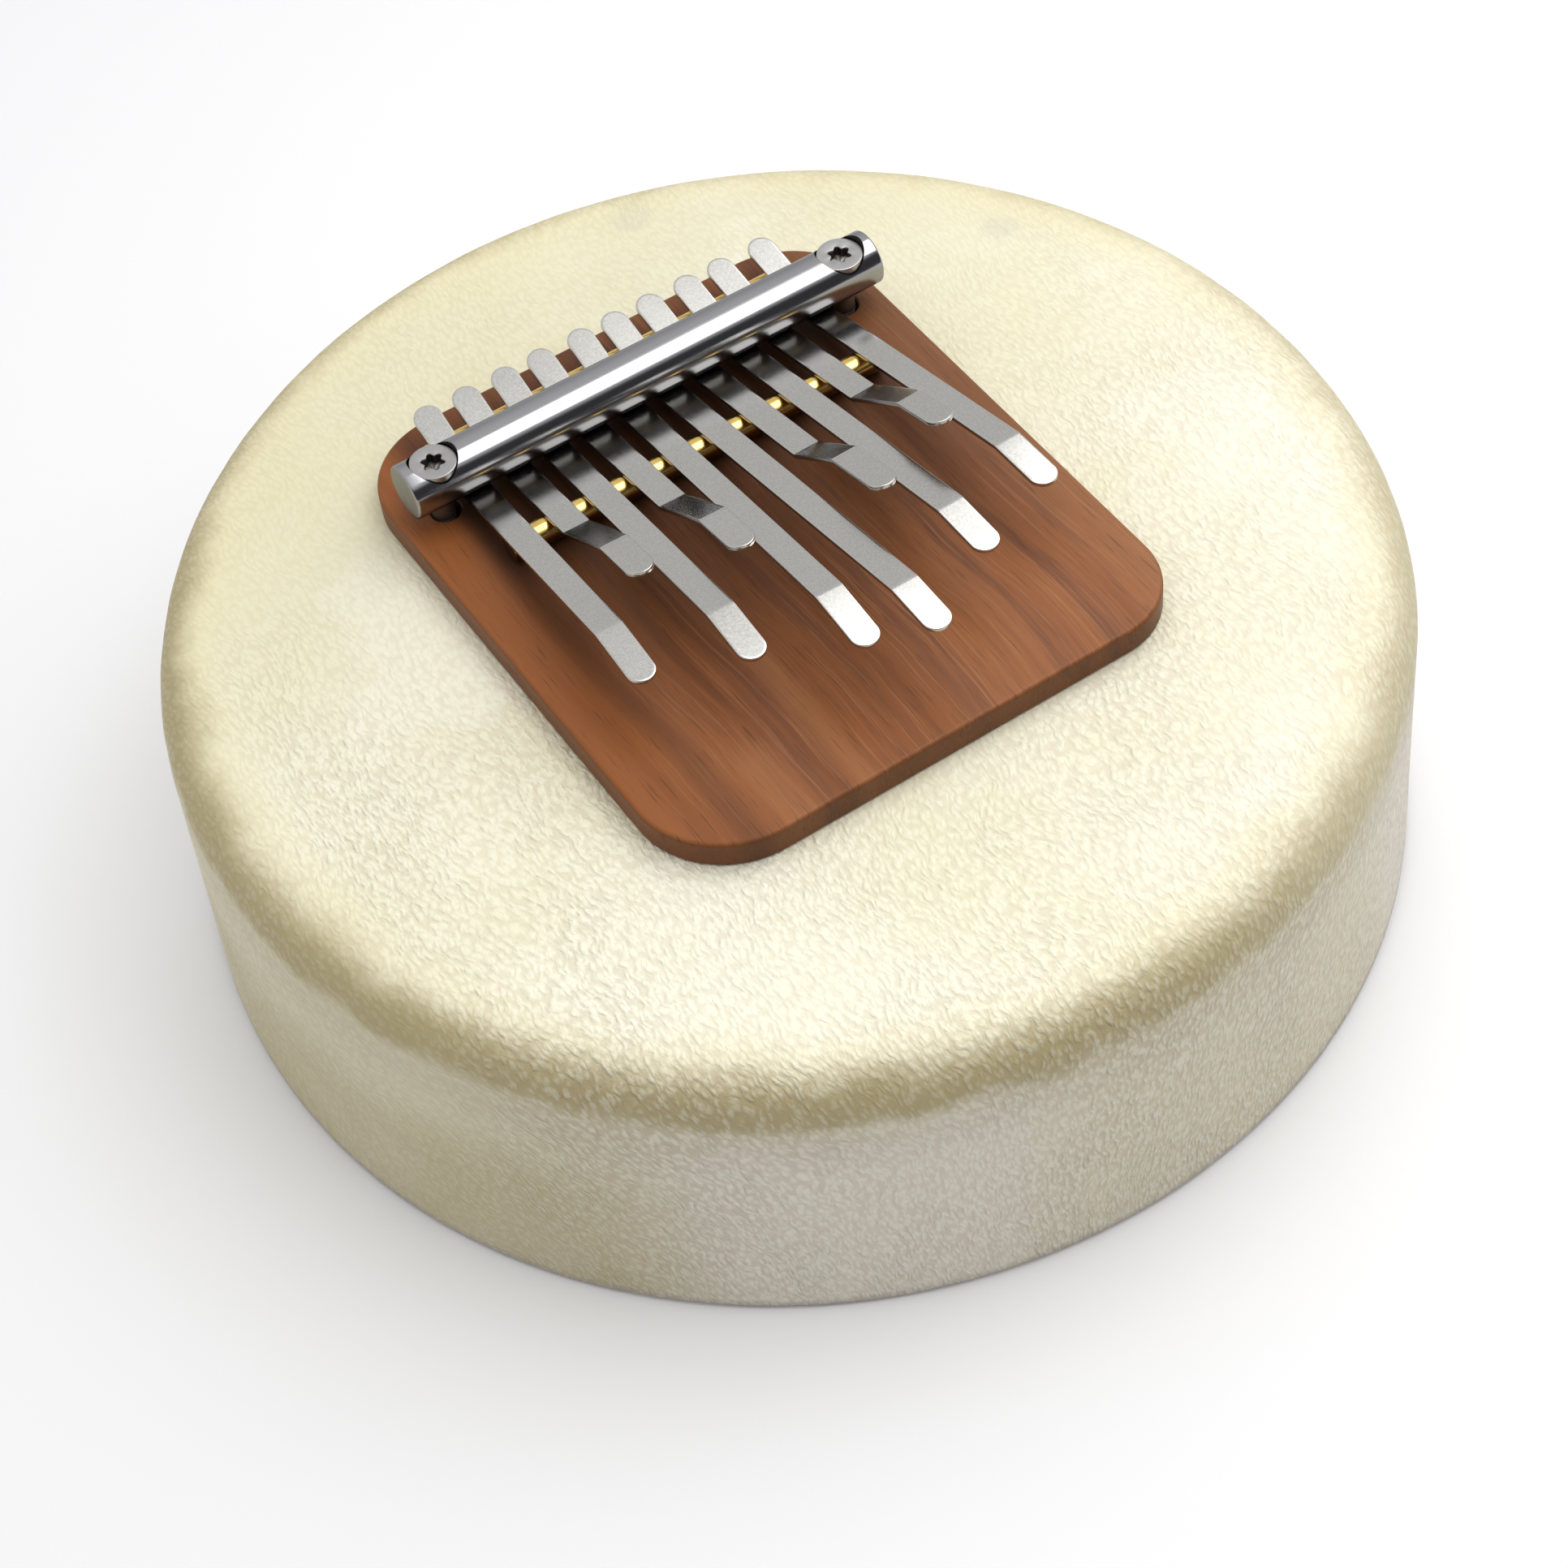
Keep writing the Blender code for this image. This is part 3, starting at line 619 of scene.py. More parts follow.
def relief(u, v, s, theta):
    """Height of the hide's soft unevenness in mm: wrinkles strung towards the player,
    tighter round the rim, and slack waves low on the wall."""
    if s < 52.0:
        return 0.0
    p = Vector((u, v, 0.0))
    q = Vector((u / 5.2 + 0.9 * noise.noise(p / 19.0), v / 11.0, 0.3))
    h = 0.030 * noise.noise(q) + 0.018 * noise.noise(Vector((u / 3.4, v / 5.5, 4.1)))
    h += 0.060 * noise.noise(Vector((u / 31.0, v / 31.0, 1.7)))
    turn = max(0.0, 1.0 - abs(s - RIM_C - TURN * 0.75) / 16.0)
    if turn > 0.0:
        h += turn * 0.10 * noise.noise(Vector((theta * SKIN_R / 7.0, s / 17.0, 2.2)))
        h += turn * 0.07 * noise.noise(Vector((theta * SKIN_R / 21.0, s / 12.0, 6.2)))
    low = max(0.0, (s - RIM_C - TURN) / WALL)
    h += low * 0.10 * noise.noise(Vector((math.cos(theta) * 2.4, math.sin(theta) * 2.4, s / 40.0)))
    return h * min(1.0, (s - 52.0) / 10.0)


def ring_radii():
    top = [3.0, 6.0, 11.0, 16.0, 22.0, 29.0, 36.0, 44.0]
    s = 46.5
    while s < 57.0:
        top.append(s)
        s += 2.5
    rest = RIM_C + TURN + WALL - s
    count = int(round(rest / 1.12))
    top += [s + rest * k / count for k in range(count + 1)]
    return top


def columns_for(s, full):
    if s > 40.0:
        return full
    if s > 20.0:
        return full // 2
    if s > 8.0:
        return full // 4
    return full // 8


def hide_sheet(radii, full, inset, verts, faces, flat, lay, flip):
    """Append one skin of the hide; returns the vertex numbers of its rows."""
    verts.append((0.0, 0.0, SKIN_TOP - inset))
    flat.append(lay(0.0, 0.0))
    rows = [[len(verts) - 1]]
    for s in radii:
        n = columns_for(s, full)
        r, z, nr, nz = hide_point(s, inset)
        row = []
        for k in range(n):
            th = TAU * k / n
            c, si = math.cos(th), math.sin(th)
            h = relief(s * c, s * si, s, th) if inset == 0.0 else 0.0
            rr, zz = r + h * nr - out_of_round(th, r), z + h * nz
            if s > RIM_C + TURN + WALL - 0.01:
                zz += 0.22 * noise.noise(Vector((c * 5.0, si * 5.0, 3.0))) + 0.10 * noise.noise(Vector((c * 19.0, si * 19.0, 3.0)))
            verts.append((rr * c, rr * si, zz))
            flat.append(lay(s * c, s * si))
            row.append(len(verts) - 1)
        rows.append(row)
    out = []
    for a, b in zip(rows, rows[1:]):
        out += zip_rows(a, b)
    faces += [tuple(reversed(f)) for f in out] if flip else out
    return rows


def zip_rows(a, b):
    """Faces between ring a and ring b, where b has as many points or twice as many."""
    out = []
    if len(a) == 1:
        for k in range(len(b)):
            out.append((a[0], b[k], b[(k + 1) % len(b)]))
    elif len(a) == len(b):
        n = len(a)
        for k in range(n):
            j = (k + 1) % n
            out.append((a[k], b[k], b[j], a[j]))
    else:
        n = len(a)
        for k in range(n):
            j = (k + 1) % n
            b0, b1, b2 = b[2 * k], b[2 * k + 1], b[(2 * k + 2) % len(b)]
            out += [(a[k], b0, b1), (a[k], b1, a[j]), (a[j], b1, b2)]
    return out


def make_hide():
    verts, faces, flat, chart = [], [], [], []
    full = 720
    end = RIM_C + TURN + WALL
    outer_scale = 0.400 / (end + 1.0)
    inner_scale = 0.180 / (end + 1.0)

    def lay_out(u, v):
        chart.append((0.405 + u * outer_scale, 0.405 + v * outer_scale))
        return (u * MM, v * MM)

    def lay_in(u, v):
        chart.append((0.812 + u * inner_scale, 0.812 + v * inner_scale))
        return (u * MM + 1.0, v * MM)

    outer = hide_sheet(ring_radii(), full, 0.0, verts, faces, flat, lay_out, False)
    inner_radii = [3.0, 6.0, 11.0, 16.0, 22.0, 29.0, 36.0, 44.0, 50.0, 56.0, 62.0, 68.0, 74.0, 80.0, 88.0, 96.0, 104.0, 112.0]
    inner_radii += [RIM_C + TURN * k / 8 for k in range(9)] + [RIM_C + TURN + WALL * k / 6 for k in range(1, 7)]
    inner = hide_sheet(inner_radii, full // 2, SKIN_T, verts, faces, flat, lay_in, True)
    # trimmed edge at the foot
    for f in zip_rows(inner[-1], outer[-1]):
        faces.append(tuple(reversed(f)))

    mesh = bpy.data.meshes.new("goatskin_head")
    mesh.from_pydata((np.asarray(verts) * MM).tolist(), [], faces)
    flat, chart = np.asarray(flat), np.asarray(chart)
    loops = np.zeros(len(mesh.loops), dtype=np.int32)
    mesh.loops.foreach_get("vertex_index", loops)
    for name, table in (("hide_flat", flat), ("OFBake", chart)):
        layer = mesh.uv_layers.new(name=name)
        layer.data.foreach_set("uv", table[loops].ravel())

    # punch the two holes for the screws: drop the faces there and join the rims
    bm = bmesh.new()
    bm.from_mesh(mesh)
    centres = [Vector((x * MM, BAR_Y * MM)) for x in HOLE_X]
    gone = [f for f in bm.faces if any((f.calc_center_median().xy - c).length < 4.4 * MM for c in centres)]
    bmesh.ops.delete(bm, geom=gone, context='FACES')
    rims = [e for e in bm.edges if e.is_boundary]
    for v in {v for e in rims for v in e.verts}:
        c = min(centres, key=lambda q: (v.co.xy - q).length)
        d = (v.co.xy - c).normalized() * HOLE_R * MM
        v.co.x, v.co.y = c.x + d.x, c.y + d.y
    for c in centres:
        pair = [e for e in rims if (e.verts[0].co.xy - c).length < 8 * MM]
        bmesh.ops.bridge_loops(bm, edges=pair)
    loose = [v for v in bm.verts if not v.link_faces]
    bmesh.ops.delete(bm, geom=loose, context='VERTS')
    bmesh.ops.recalc_face_normals(bm, faces=bm.faces)
    bm.to_mesh(mesh)
    bm.free()
    mesh.materials.append(HIDE)
    mesh.shade_smooth()
    mesh.set_sharp_from_angle(angle=math.radians(50))
    ob = bpy.data.objects.new("goatskin_head", mesh)
    bpy.context.scene.collection.objects.link(ob)
    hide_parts("drum_skin")
    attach(ob, "instrument")
    return ob


def make_hoop():
    """Hoop with an eased bearing edge, a bead at the foot and a slanted lap joint inside."""
    inset = SKIN_T + GAP

    def wall(z):
        return SKIN_R + FLARE * (RIM_Z - z) / RIM_Z - inset

    profile = [(SHELL_INNER_R + 0.8, 0.0), (wall(0.0) - 0.8, 0.0), (wall(0.4) - 0.25, 0.25), (wall(1.0), 1.0)]
    profile += [(wall(z), z) for z in (12.0, 24.0, 36.0, 48.0)]
    profile += quarter(RIM_C, RIM_Z, RIM_R - inset, 0, 90, 12)
    lip = SKIN_TOP - inset
    profile += [(SHELL_INNER_R + 2.4, lip), (SHELL_INNER_R + 1.4, lip - 0.35), (SHELL_INNER_R + 0.5, lip - 1.1), (SHELL_INNER_R, lip - 2.2)]
    profile += [(SHELL_INNER_R, z) for z in (60.0, 52.0, 44.0, 36.0, 28.0, 20.0, 12.0, 4.0)] + [(SHELL_INNER_R + 0.15, 1.2), (SHELL_INNER_R + 0.4, 0.4)]
    n = 720
    verts, faces = lathe(profile, n, ring=True)
    out = []
    for x, y, z in verts:
        r = math.hypot(x, y)
        a = math.degrees(math.atan2(y, x))
        if r > SHELL_INNER_R + 2.0:
            r -= out_of_round(math.radians(a), r)
            x, y = r * math.cos(math.radians(a)), r * math.sin(math.radians(a))
        if r < SHELL_INNER_R + 0.01 and 2.0 < z < 66.0:
            seam = 118.0 + (z - 34.0) * 0.16
            if abs(a - seam) < 0.3:
                r += 0.35
            r += 0.10 * noise.noise(Vector((x / 30.0, y / 30.0, z / 60.0)))
            x, y = r * math.cos(math.radians(a)), r * math.sin(math.radians(a))
        out.append((x, y, z))
    return add_piece("bent_hoop", out, faces, HOOP, ("drum_shell",), "shell_wood", angle=40)


# ---- plate, bar and fasteners ---------------------------------------------------------------------


def plate_outline(inset, n=24):
    x0, x1, y0, y1 = PLATE_X[0] + inset, PLATE_X[1] - inset, PLATE_Y[0] + inset, PLATE_Y[1] - inset
    pts = []
    for sx, sy, r, a in ((x1, y1, PLATE_CORNERS[0], 0), (x0, y1, PLATE_CORNERS[1], 90),
                         (x0, y0, PLATE_CORNERS[2], 180), (x1, y0, PLATE_CORNERS[3], 270)):
        r = r - inset
        cx = sx - r if sx == x1 else sx + r
        cy = sy - r if sy == y1 else sy + r
        pts += quarter(cx, cy, r, a, a + 90, n)
    return pts


def make_plate():
    bottom = SKIN_TOP + GAP
    rows = []
    low, top = 0.5, 0.95
    for k in range(4):
        a = math.radians(30 * k)
        rows.append([(x, y, bottom + low * (1 - math.sin(a))) for x, y in plate_outline(low * (1 - math.cos(a)))])
    rows = rows[::-1]
    for k in range(7):
        a = math.radians(15 * k)
        rows.append([(x, y, PLATE_TOP - top * (1 - math.sin(a))) for x, y in plate_outline(top * (1 - math.cos(a)))])
    rows.insert(0, [(x, y, bottom) for x, y in plate_outline(low + 0.6)])
    rows.append([(x, y, PLATE_TOP) for x, y in plate_outline(top + 0.6)])
    ob = add_piece("cherry_plate", *stack(rows), WOOD, ("sound_plate",), "plate_wood", angle=40)
    drills = []
    for hx in HOLE_X:
        ease = 0.35
        verts, faces = lathe([(0.0, 80.0), (HOLE_R + ease + 4.43, 80.0), (HOLE_R + ease, PLATE_TOP), (HOLE_R, PLATE_TOP - ease),
                              (HOLE_R, 65.0), (0.0, 65.0)], 72)
        drills.append(cutter("drill", moved(verts, hx, BAR_Y), faces))
    carve(ob, drills, 38)
    mark_flats(ob)
    return ob


def make_bar():
    n = 192
    length = BAR_X[1] - BAR_X[0]
    e = 0.55
    rim = [(0.0, 0.05), (1.2, 0.045), (3.2, 0.02), (BAR_R - e - 0.35, 0.0)]
    rim += [(BAR_R - e + e * math.sin(math.radians(a)), e - e * math.cos(math.radians(a))) for a in (0, 22.5, 45, 67.5, 90)]
    steps = 36
    body = [(BAR_R, e + (length - 2 * e) * k / steps) for k in range(1, steps)]
    far = [(r, length - h) for r, h in reversed(rim)]
    verts, faces = lathe(rim + body + far, n)
    ob = add_piece("turned_clamp_bar", along_x(verts, BAR_X[0], BAR_Y, BAR_Z), faces, BAR, ("clamp_bar",), "turned_steel", angle=32)
    head_low = HEAD_TOP - HEAD_CYL
    seat = HEAD_R - SHANK_R
    cuts = []
    for sx in SCREW_X:
        verts, faces = lathe([(0.0, HEAD_TOP + 6.0), (HEAD_R + 0.28, HEAD_TOP + 6.0), (HEAD_R + 0.28, head_low - 0.30),
                              (SHANK_R + 0.3, head_low - 0.30 - seat + 0.02), (SHANK_R + 0.3, BAR_Z - 9.0), (0.0, BAR_Z - 9.0)], 96)
        cuts.append(cutter("bore", moved(verts, sx, BAR_Y), faces))
    carve(ob, cuts, 32)
    return ob


def make_screw(side, sx, turn):
    """Countersunk screw with a six-lobe recess and a cut thread at its lower end."""
    n = 96
    head_low = HEAD_TOP - HEAD_CYL
    seat = HEAD_R - SHANK_R
    lobes = []
    for k in range(n):
        a = TAU * k / n
        r = 2.17 + 0.38 * math.cos(6 * (a - math.radians(turn)))
        lobes.append((r, a))

    def star(grow, z):
        return [((r + grow) * math.cos(a), (r + grow) * math.sin(a), z) for r, a in lobes]

    def circle(r, z):
        return [(r * math.cos(TAU * k / n), r * math.sin(TAU * k / n), z) for k in range(n)]

    rows = [star(-1.55, HEAD_TOP - RECESS_DEPTH - 0.30), star(-0.55, HEAD_TOP - RECESS_DEPTH), star(-0.08, HEAD_TOP - RECESS_DEPTH + 0.05),
            star(0.0, HEAD_TOP - RECESS_DEPTH + 0.2), star(0.0, HEAD_TOP - 0.14), star(0.10, HEAD_TOP - 0.03), star(0.22, HEAD_TOP)]
    rows += [circle(HEAD_R - 0.75, HEAD_TOP), circle(HEAD_R - 0.26, HEAD_TOP)]
    rows += [circle(HEAD_R - 0.20 + 0.20 * math.sin(math.radians(a)), HEAD_TOP - 0.20 + 0.20 * math.cos(math.radians(a))) for a in (15, 40, 65, 90)]
    rows += [circle(HEAD_R, head_low + 0.25), circle(HEAD_R - 0.05, head_low + 0.05), circle(HEAD_R - 0.2, head_low - 0.15),
             circle(SHANK_R + 0.12, head_low - seat + 0.12), circle(SHANK_R, head_low - seat - 0.15), circle(SHANK_R, 76.0)]
    # thread: pitch 0.8 mm, running out below the plate and over the chamfered point
    z = 75.9
    pitch = 0.8
    while z > SHANK_END + 0.05:
        fade = min(1.0, (75.9 - z) / 1.6)
        row = []
        for k in range(n):
            a = TAU * k / n
            phase = ((z / pitch) + a / TAU) % 1.0
            groove = 0.30 * fade * max(0.0, 1.0 - abs(phase - 0.5) / 0.38)
            point = max(0.0, 0.75 - (z - SHANK_END))
            r = min(SHANK_R - groove, SHANK_R - point)
            row.append((r * math.cos(a), r * math.sin(a), z))
        rows.append(row)
        z -= pitch / 9
    rows.append(circle(SHANK_R - 0.8, SHANK_END))
    verts, faces = stack(rows)
    return add_piece("six_lobe_screw_" + side, moved(verts, sx, BAR_Y), faces, SCREW, ("clamp_screw_" + side,), "turned_steel", angle=32)


def make_washer(side, sx):
    top = SKIN_TOP - SKIN_T - GAP
    lo, e, r0 = top - WASHER_T, 0.18, SHANK_R + 0.3
    profile = [(r0, top - e), (r0, lo + e), (r0 + e, lo), (WASHER_R - 0.3, lo), (WASHER_R - 0.1, lo + 0.08), (WASHER_R, lo + 0.25),
               (WASHER_R, top - e), (WASHER_R - e, top), (r0 + e, top)]
    verts, faces = lathe(profile, 96, ring=True)
    return add_piece("plain_washer_" + side, moved(verts, sx, BAR_Y), faces, HARD, ("clamp_washer_" + side,), "steel", angle=32)


def make_nut(side, sx):
    n = 144
    top = SKIN_TOP - SKIN_T - GAP - WASHER_T - GAP
    low = top - NUT_H
    bore = SHANK_R + 0.2
    flat = NUT_AF / 2

    def hexagon(a):
        return flat / math.cos((a % math.radians(60)) - math.radians(30))

    rows = []
    for kind, z in (("bore", low + 0.5), ("bore", top - 0.5), ("lip", top), ("face", top), ("hex", top), ("hex", low), ("face", low), ("lip", low)):
        row = []
        for k in range(n):
            a = TAU * k / n
            if kind == "bore":
                r, zz = bore, z
            elif kind == "lip":
                r, zz = bore + 0.5, z
            elif kind == "face":
                r, zz = flat * 0.965, z
            else:
                r = hexagon(a)
                drop = max(0.0, r - flat * 0.965) * math.tan(math.radians(30))
                zz = z - drop if z > (low + top) / 2 else z + drop
            row.append((r * math.cos(a), r * math.sin(a), zz))
        rows.append(row)
    verts, faces = stack(rows, False, False)
    m = len(rows)
    for k in range(n):
        j = (k + 1) % n
        faces.append(((m - 1) * n + k, (m - 1) * n + j, j, k))
    return add_piece("hex_nut_" + side, moved(verts, sx, BAR_Y), faces, HARD, ("clamp_nut_" + side,), "steel", angle=24)


def make_rod(name, node, y, r):
    length = ROD_X[1] - ROD_X[0]
    e = 0.4
    end = [(0.0, 0.0), (r - e - 0.4, 0.0)] + [(r - e + e * math.sin(math.radians(a)), e - e * math.cos(math.radians(a))) for a in (0, 30, 60, 90)]
    body = [(r, e + (length - 2 * e) * k / 12) for k in range(1, 12)]
    verts, faces = lathe(end + body + [(a, length - h) for a, h in reversed(end)], 80)
    return add_piece(name, along_x(verts, ROD_X[0], y, PLATE_TOP + GAP + r), faces, BRASS, (node,), "brass", angle=40)


# ---- tines ---------------------------------------------------------------------------------------------
HALF_T = TINE_T / 2
UNDER = BAR_R + GAP + HALF_T


def tangent_run(rod_r, distance):
    over = rod_r + GAP + HALF_T
    drop = BAR_Z - (PLATE_TOP + GAP + rod_r)
    return math.asin((UNDER + over) / math.hypot(distance, drop)) - math.atan2(drop, distance)


FRONT_ANGLE = tangent_run(FRONT_ROD_R, FRONT_ROD_FORWARD)
REAR_ANGLE = tangent_run(REAR_ROD_R, REAR_ROD_BACK)
HINGE_W = FRONT_ROD_FORWARD - (FRONT_ROD_R + GAP + HALF_T) * math.sin(FRONT_ANGLE)
HINGE_Z = PLATE_TOP + GAP + FRONT_ROD_R + (FRONT_ROD_R + GAP + HALF_T) * math.cos(FRONT_ANGLE)
CREASE_R = 3.2


class Path:
    """Mid-plane of a tine as straight and curved lengths, read by distance."""

    def __init__(self, w, z, angle):
        self.parts = []
        self.total = 0.0
        self.state = (w, z, angle)

    def run(self, length, turn=0.0):
        w, z, a = self.state
        self.parts.append((self.total, length, w, z, a, turn))
        self.state = self._at(w, z, a, length, turn, length)
        self.total += length

    @staticmethod
    def _at(w, z, a, length, turn, d):
        if abs(turn) < 1e-9:
            return w + d * math.cos(a), z + d * math.sin(a), a
        r = length / turn
        b = a + turn * d / length
        return w + r * (math.sin(b) - math.sin(a)), z - r * (math.cos(b) - math.cos(a)), b

    def at(self, s):
        for start, length, w, z, a, turn in self.parts:
            if s <= start + length or (start, length) == (self.parts[-1][0], self.parts[-1][1]):
                return self._at(w, z, a, length, turn, min(s - start, length) if turn else s - start)


def tine_path(reach, angles):
    a0 = -REAR_ANGLE
    w0 = -STUB
    z0 = BAR_Z - UNDER * math.cos(a0) + (w0 - UNDER * math.sin(a0)) * math.tan(a0)
    path = Path(w0, z0, a0)
    touch = UNDER * math.sin(a0)
    path.run((touch - w0) / math.cos(a0))
    path.run(UNDER * (FRONT_ANGLE - a0), FRONT_ANGLE - a0)
    a = FRONT_ANGLE
    for target, nxt in zip(reach, tuple(angles) + (None,)):
        if nxt is None:
            path.run((target - path.state[0]) / math.cos(a))
        else:
            turn = math.radians(nxt) - a
            cut = CREASE_R * math.tan(abs(turn) / 2)
            path.run((target - path.state[0]) / math.cos(a) - cut)
            path.run(CREASE_R * abs(turn), turn)
            a = math.radians(nxt)
    return path


def make_tine(number, tx, fan, reach, angles):
    path = tine_path(reach, angles)
    half = TINE_W / 2
    total = path.total
    # stations: round ends, every crease finely, straight lengths sparsely
    ends = [half * (1 - math.cos(math.radians(d))) for d in range(0, 91, 6)]
    marks = set(round(e, 5) for e in ends) | set(round(total - e, 5) for e in ends)
    for start, length, w, z, a, turn in path.parts:
        pieces = max(2, int(math.ceil(abs(math.degrees(turn)) / 2.0))) if turn else max(1, int(math.ceil(length / 3.0)))
        for k in range(pieces + 1):
            s = start + length * k / pieces
            if half < s < total - half:
                marks.add(round(s, 5))
    marks = sorted(marks)
    keep = [marks[0]]
    for s in marks[1:]:
        if s - keep[-1] > 0.004:
            keep.append(s)
    e = 0.17
    rings = [(e + 0.35, -HALF_T)]
    rings += [(e * (1 - math.sin(math.radians(a))), -HALF_T + e * (1 - math.cos(math.radians(a)))) for a in (0, 30, 60, 90)]
    rings += [(e * (1 - math.sin(math.radians(a))), HALF_T - e * (1 - math.cos(math.radians(a)))) for a in (90, 60, 30, 0)]
    rings += [(e + 0.35, HALF_T)]
    cf, sf = math.cos(math.radians(fan)), math.sin(math.radians(fan))

    def place(s, v, t):
        w, z, a = path.at(s)
        w, z = w - t * math.sin(a), z + t * math.cos(a)
        return tx + v * cf - w * sf, BAR_Y - v * sf - w * cf, z

    verts, faces = [], []
    loops = []
    for inset, t in rings:
        r = half - inset
        left, right = [], []
        for s in keep:
            if s < half:
                c = (half - s) / half
                sa, h = half - r * c, r * math.sqrt(max(0.0, 1 - c * c))
            elif s > total - half:
                c = (s - total + half) / half
                sa, h = total - half + r * c, r * math.sqrt(max(0.0, 1 - c * c))
            else:
                sa, h = s, r
            left.append((sa, -h))
            right.append((sa, h))
        loop = [left[0]] + left[1:-1] + [left[-1]] + right[1:-1][::-1]
        start = len(verts)
        verts += [place(s, v, t) for s, v in loop]
        loops.append(list(range(start, start + len(loop))))
    n = len(loops[0])
    for a, b in zip(loops, loops[1:]):
        for k in range(n):
            j = (k + 1) % n
            faces.append((a[k], a[j], b[j], b[k]))
    m = len(keep)
    for loop in (loops[0], loops[-1]):
        # left side runs 0..m-1, right side comes back from m to n-1
        def right_of(i):
            return loop[i] if i in (0, m - 1) else loop[n - i]
        for i in range(m - 1):
            quad = [loop[i], loop[i + 1], right_of(i + 1), right_of(i)]
            ring = []
            for v in quad:
                if v not in ring:
                    ring.append(v)
            faces.append(tuple(ring))
    tag = "tine_%02d" % number
    ob = add_piece("spring_" + tag, verts, faces, TINE, (tag + "_root", tag + "_tongue"), "steel", angle=48, ride=False)
    s_h = next(start for start, length, w, z, a, turn in path.parts if abs(a - FRONT_ANGLE) < 1e-9 and not turn)
    s_h += (HINGE_W - UNDER * math.sin(FRONT_ANGLE)) / math.cos(FRONT_ANGLE)
    p0, p1 = place(s_h - 2.0, 0.0, 0.0), place(s_h + 3.0, 0.0, 0.0)
    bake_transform(ob)
    return ob


make_hide()
make_hoop()
make_plate()
make_bar()
for side, sx, turn in zip(("left", "right"), SCREW_X, RECESS_TURN):
    make_screw(side, sx, turn)
    make_washer(side, sx)
    make_nut(side, sx)
make_rod("front_brass_rod", "front_bridge", BAR_Y - FRONT_ROD_FORWARD, FRONT_ROD_R)
make_rod("rear_brass_rod", "rear_bridge", BAR_Y + REAR_ROD_BACK, REAR_ROD_R)
for number, (tx, fan, reach, angles) in enumerate(TINES, start=1):
    make_tine(number, tx, fan, reach, angles)

# ---- floor, light and camera -----------------------------------------------------------------------------
scene = bpy.context.scene
scene.view_settings.view_transform = 'Standard'

bpy.ops.mesh.primitive_plane_add(size=8.0, location=(0, 0, -0.0001))
floor = bpy.context.object
floor.name = "floor"
fm = Mat("pale_floor")
paper = fm.mix(fm.noise(fm.mapped(), 3.0, 3.0, 0.5), (0.915, 0.915, 0.93), (0.93, 0.93, 0.94))
# painted shade: far in front of the drum the floor is painted dark, standing in for the light falling off there
paper = fm.mix(fm.span(fm.split(fm.obj)[1], -0.7, -1.8, 0.0, 0.8, smooth=True), paper, (0.10, 0.10, 0.11))
fm.set(Base_Color=paper, Roughness=0.85)
floor.data.materials.append(fm.mat)


def studio_world():
    """Grey-white room that is dark low down behind the camera."""
    world = bpy.data.worlds.new("studio")
    world.use_nodes = True
    nt = world.node_tree
    back = nt.nodes["Background"]

    def node(kind, **values):
        n = nt.nodes.new(kind)
        for key, val in values.items():
            setattr(n, key, val)
        return n

    def span(value, a, b, c, d):
        n = node("ShaderNodeMapRange", interpolation_type='SMOOTHSTEP')
        for key, v in (("From Min", a), ("From Max", b), ("To Min", c), ("To Max", d)):
            n.inputs[key].default_value = v
        nt.links.new(value, n.inputs["Value"])
        return n.outputs["Result"]

    tc = node("ShaderNodeTexCoord")
    facing = node("ShaderNodeVectorMath", operation='DOT_PRODUCT')
    nt.links.new(tc.outputs["Generated"], facing.inputs[0])
    facing.inputs[1].default_value = (0.02, -1.0, 0.0)
    sep = node("ShaderNodeSeparateXYZ")
    nt.links.new(tc.outputs["Generated"], sep.inputs[0])
    dark = node("ShaderNodeMath", operation='MULTIPLY')
    nt.links.new(span(facing.outputs["Value"], 0.20, 0.62, 0.0, 1.0), dark.inputs[0])
    nt.links.new(span(sep.outputs["Z"], 0.55, 0.78, 1.0, 0.0), dark.inputs[1])
    mix = node("ShaderNodeMix", data_type='RGBA')
    nt.links.new(dark.outputs[0], mix.inputs[0])
    # the walls are darker than the ceiling
    low = span(sep.outputs["Z"], 0.20, 0.95, 0.69, 0.92)
    room = node("ShaderNodeCombineColor")
    for sock in room.inputs:
        nt.links.new(low, sock)
    nt.links.new(room.outputs[0], mix.inputs[6])
    mix.inputs[7].default_value = (0.070, 0.068, 0.075, 1.0)
    nt.links.new(mix.outputs[2], back.inputs["Color"])
    back.inputs["Strength"].default_value = 1.0
    scene.world = world


studio_world()


def soft_box(name, loc, target, size, radiance, colour=(1, 1, 1), glossy=True, diffuse=True):
    """Area light of a given brightness, never seen directly by a camera."""
    data = bpy.data.lights.new(name, 'AREA')
    data.shape = 'RECTANGLE'
    data.size, data.size_y = size
    data.energy = radiance * math.pi * size[0] * size[1]
    data.color = colour
    ob = bpy.data.objects.new(name, data)
    scene.collection.objects.link(ob)
    ob.location = loc
    ob.rotation_euler = (Vector(target) - Vector(loc)).to_track_quat('-Z', 'Y').to_euler()
    ob.visible_camera = False
    ob.visible_glossy = glossy
    ob.visible_diffuse = diffuse
    return ob


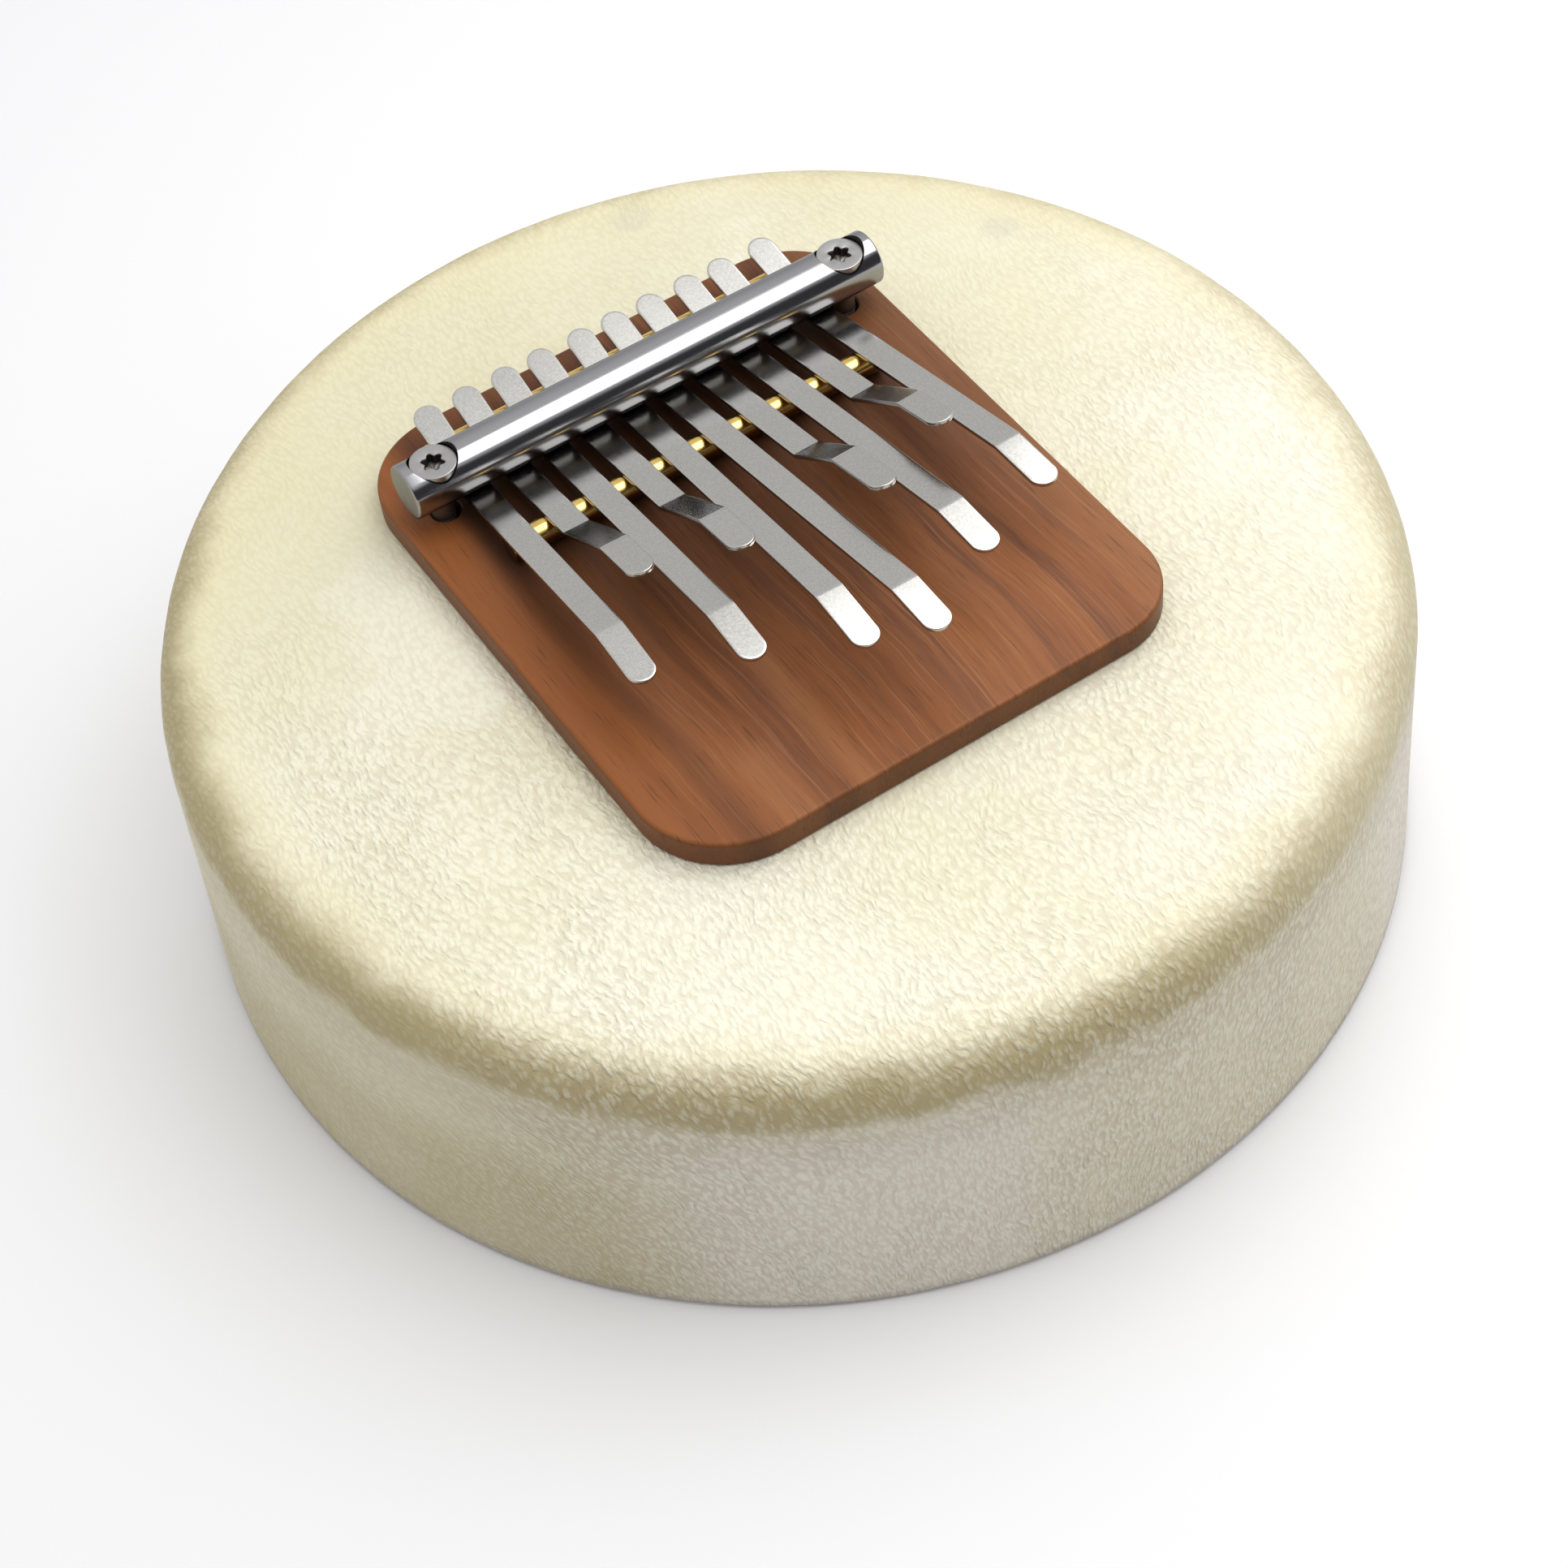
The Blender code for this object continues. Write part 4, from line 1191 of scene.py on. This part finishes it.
soft_box("key_shine", (0.220, -0.0250, 0.400), (0.220, -0.0250, 0.0), (0.400, 0.290), 3.2, diffuse=False)
soft_box("key_shine_rear", (0.3125, 0.150, 0.400), (0.3125, 0.150, 0.0), (0.215, 0.060), 3.2, diffuse=False)
soft_box("key_halo", (0.290, -0.008, 0.410), (0.290, -0.008, 0.0), (0.38, 0.366), 0.60, diffuse=False)
soft_box("key", (0.260, 0.000, 0.420), (0.260, 0.000, 0.0), (0.32, 0.34), 1.2, (1.0, 0.99, 0.97), glossy=False)
soft_box("overhead", (0.30, -0.10, 1.60), (0.0, 0.0, 0.0), (1.3, 1.3), 1.25, glossy=False)
soft_box("front_floor", (0.55, -0.90, 0.80), (0.05, -0.20, 0.0), (0.9, 0.6), 1.3, glossy=False)

# camera fitted to the photograph: position and heading in the object's frame
CAM_SCALE = 1.007
BAR_AZ = math.radians(28.55)
DH, ZC, YAW, PITCH, ROLL, FOC = 447.81, 555.49, -0.46, 51.10, -6.89, 4069.4


def into_part(v):
    """From the frame whose -Y points at the camera to the object's frame."""
    c, s = math.cos(BAR_AZ), math.sin(BAR_AZ)
    return Vector((c * v[0] + s * v[1], -s * v[0] + c * v[1], v[2]))


def photo_camera():
    yaw, pitch, roll = (math.radians(a) for a in (YAW, PITCH, ROLL))
    fwd = Vector((math.sin(yaw) * math.cos(pitch), math.cos(yaw) * math.cos(pitch), -math.sin(pitch)))
    right = Vector((math.cos(yaw), -math.sin(yaw), 0.0))
    up = right.cross(fwd)
    r2 = right * math.cos(roll) + up * math.sin(roll)
    u2 = up * math.cos(roll) - right * math.sin(roll)
    data = bpy.data.cameras.new("camera")
    data.sensor_fit = 'HORIZONTAL'
    data.sensor_width = 36.0
    data.lens = FOC * 36.0 / 1932.0
    data.clip_start = 0.01
    data.clip_end = 20.0
    cam = bpy.data.objects.new("camera", data)
    scene.collection.objects.link(cam)
    rr, uu, ff = into_part(r2), into_part(u2), into_part(fwd)
    m = Matrix((rr, uu, -ff)).transposed().to_4x4()
    m.translation = into_part((0.0, -DH, ZC)) * MM * CAM_SCALE
    cam.matrix_world = m
    scene.camera = cam


photo_camera()
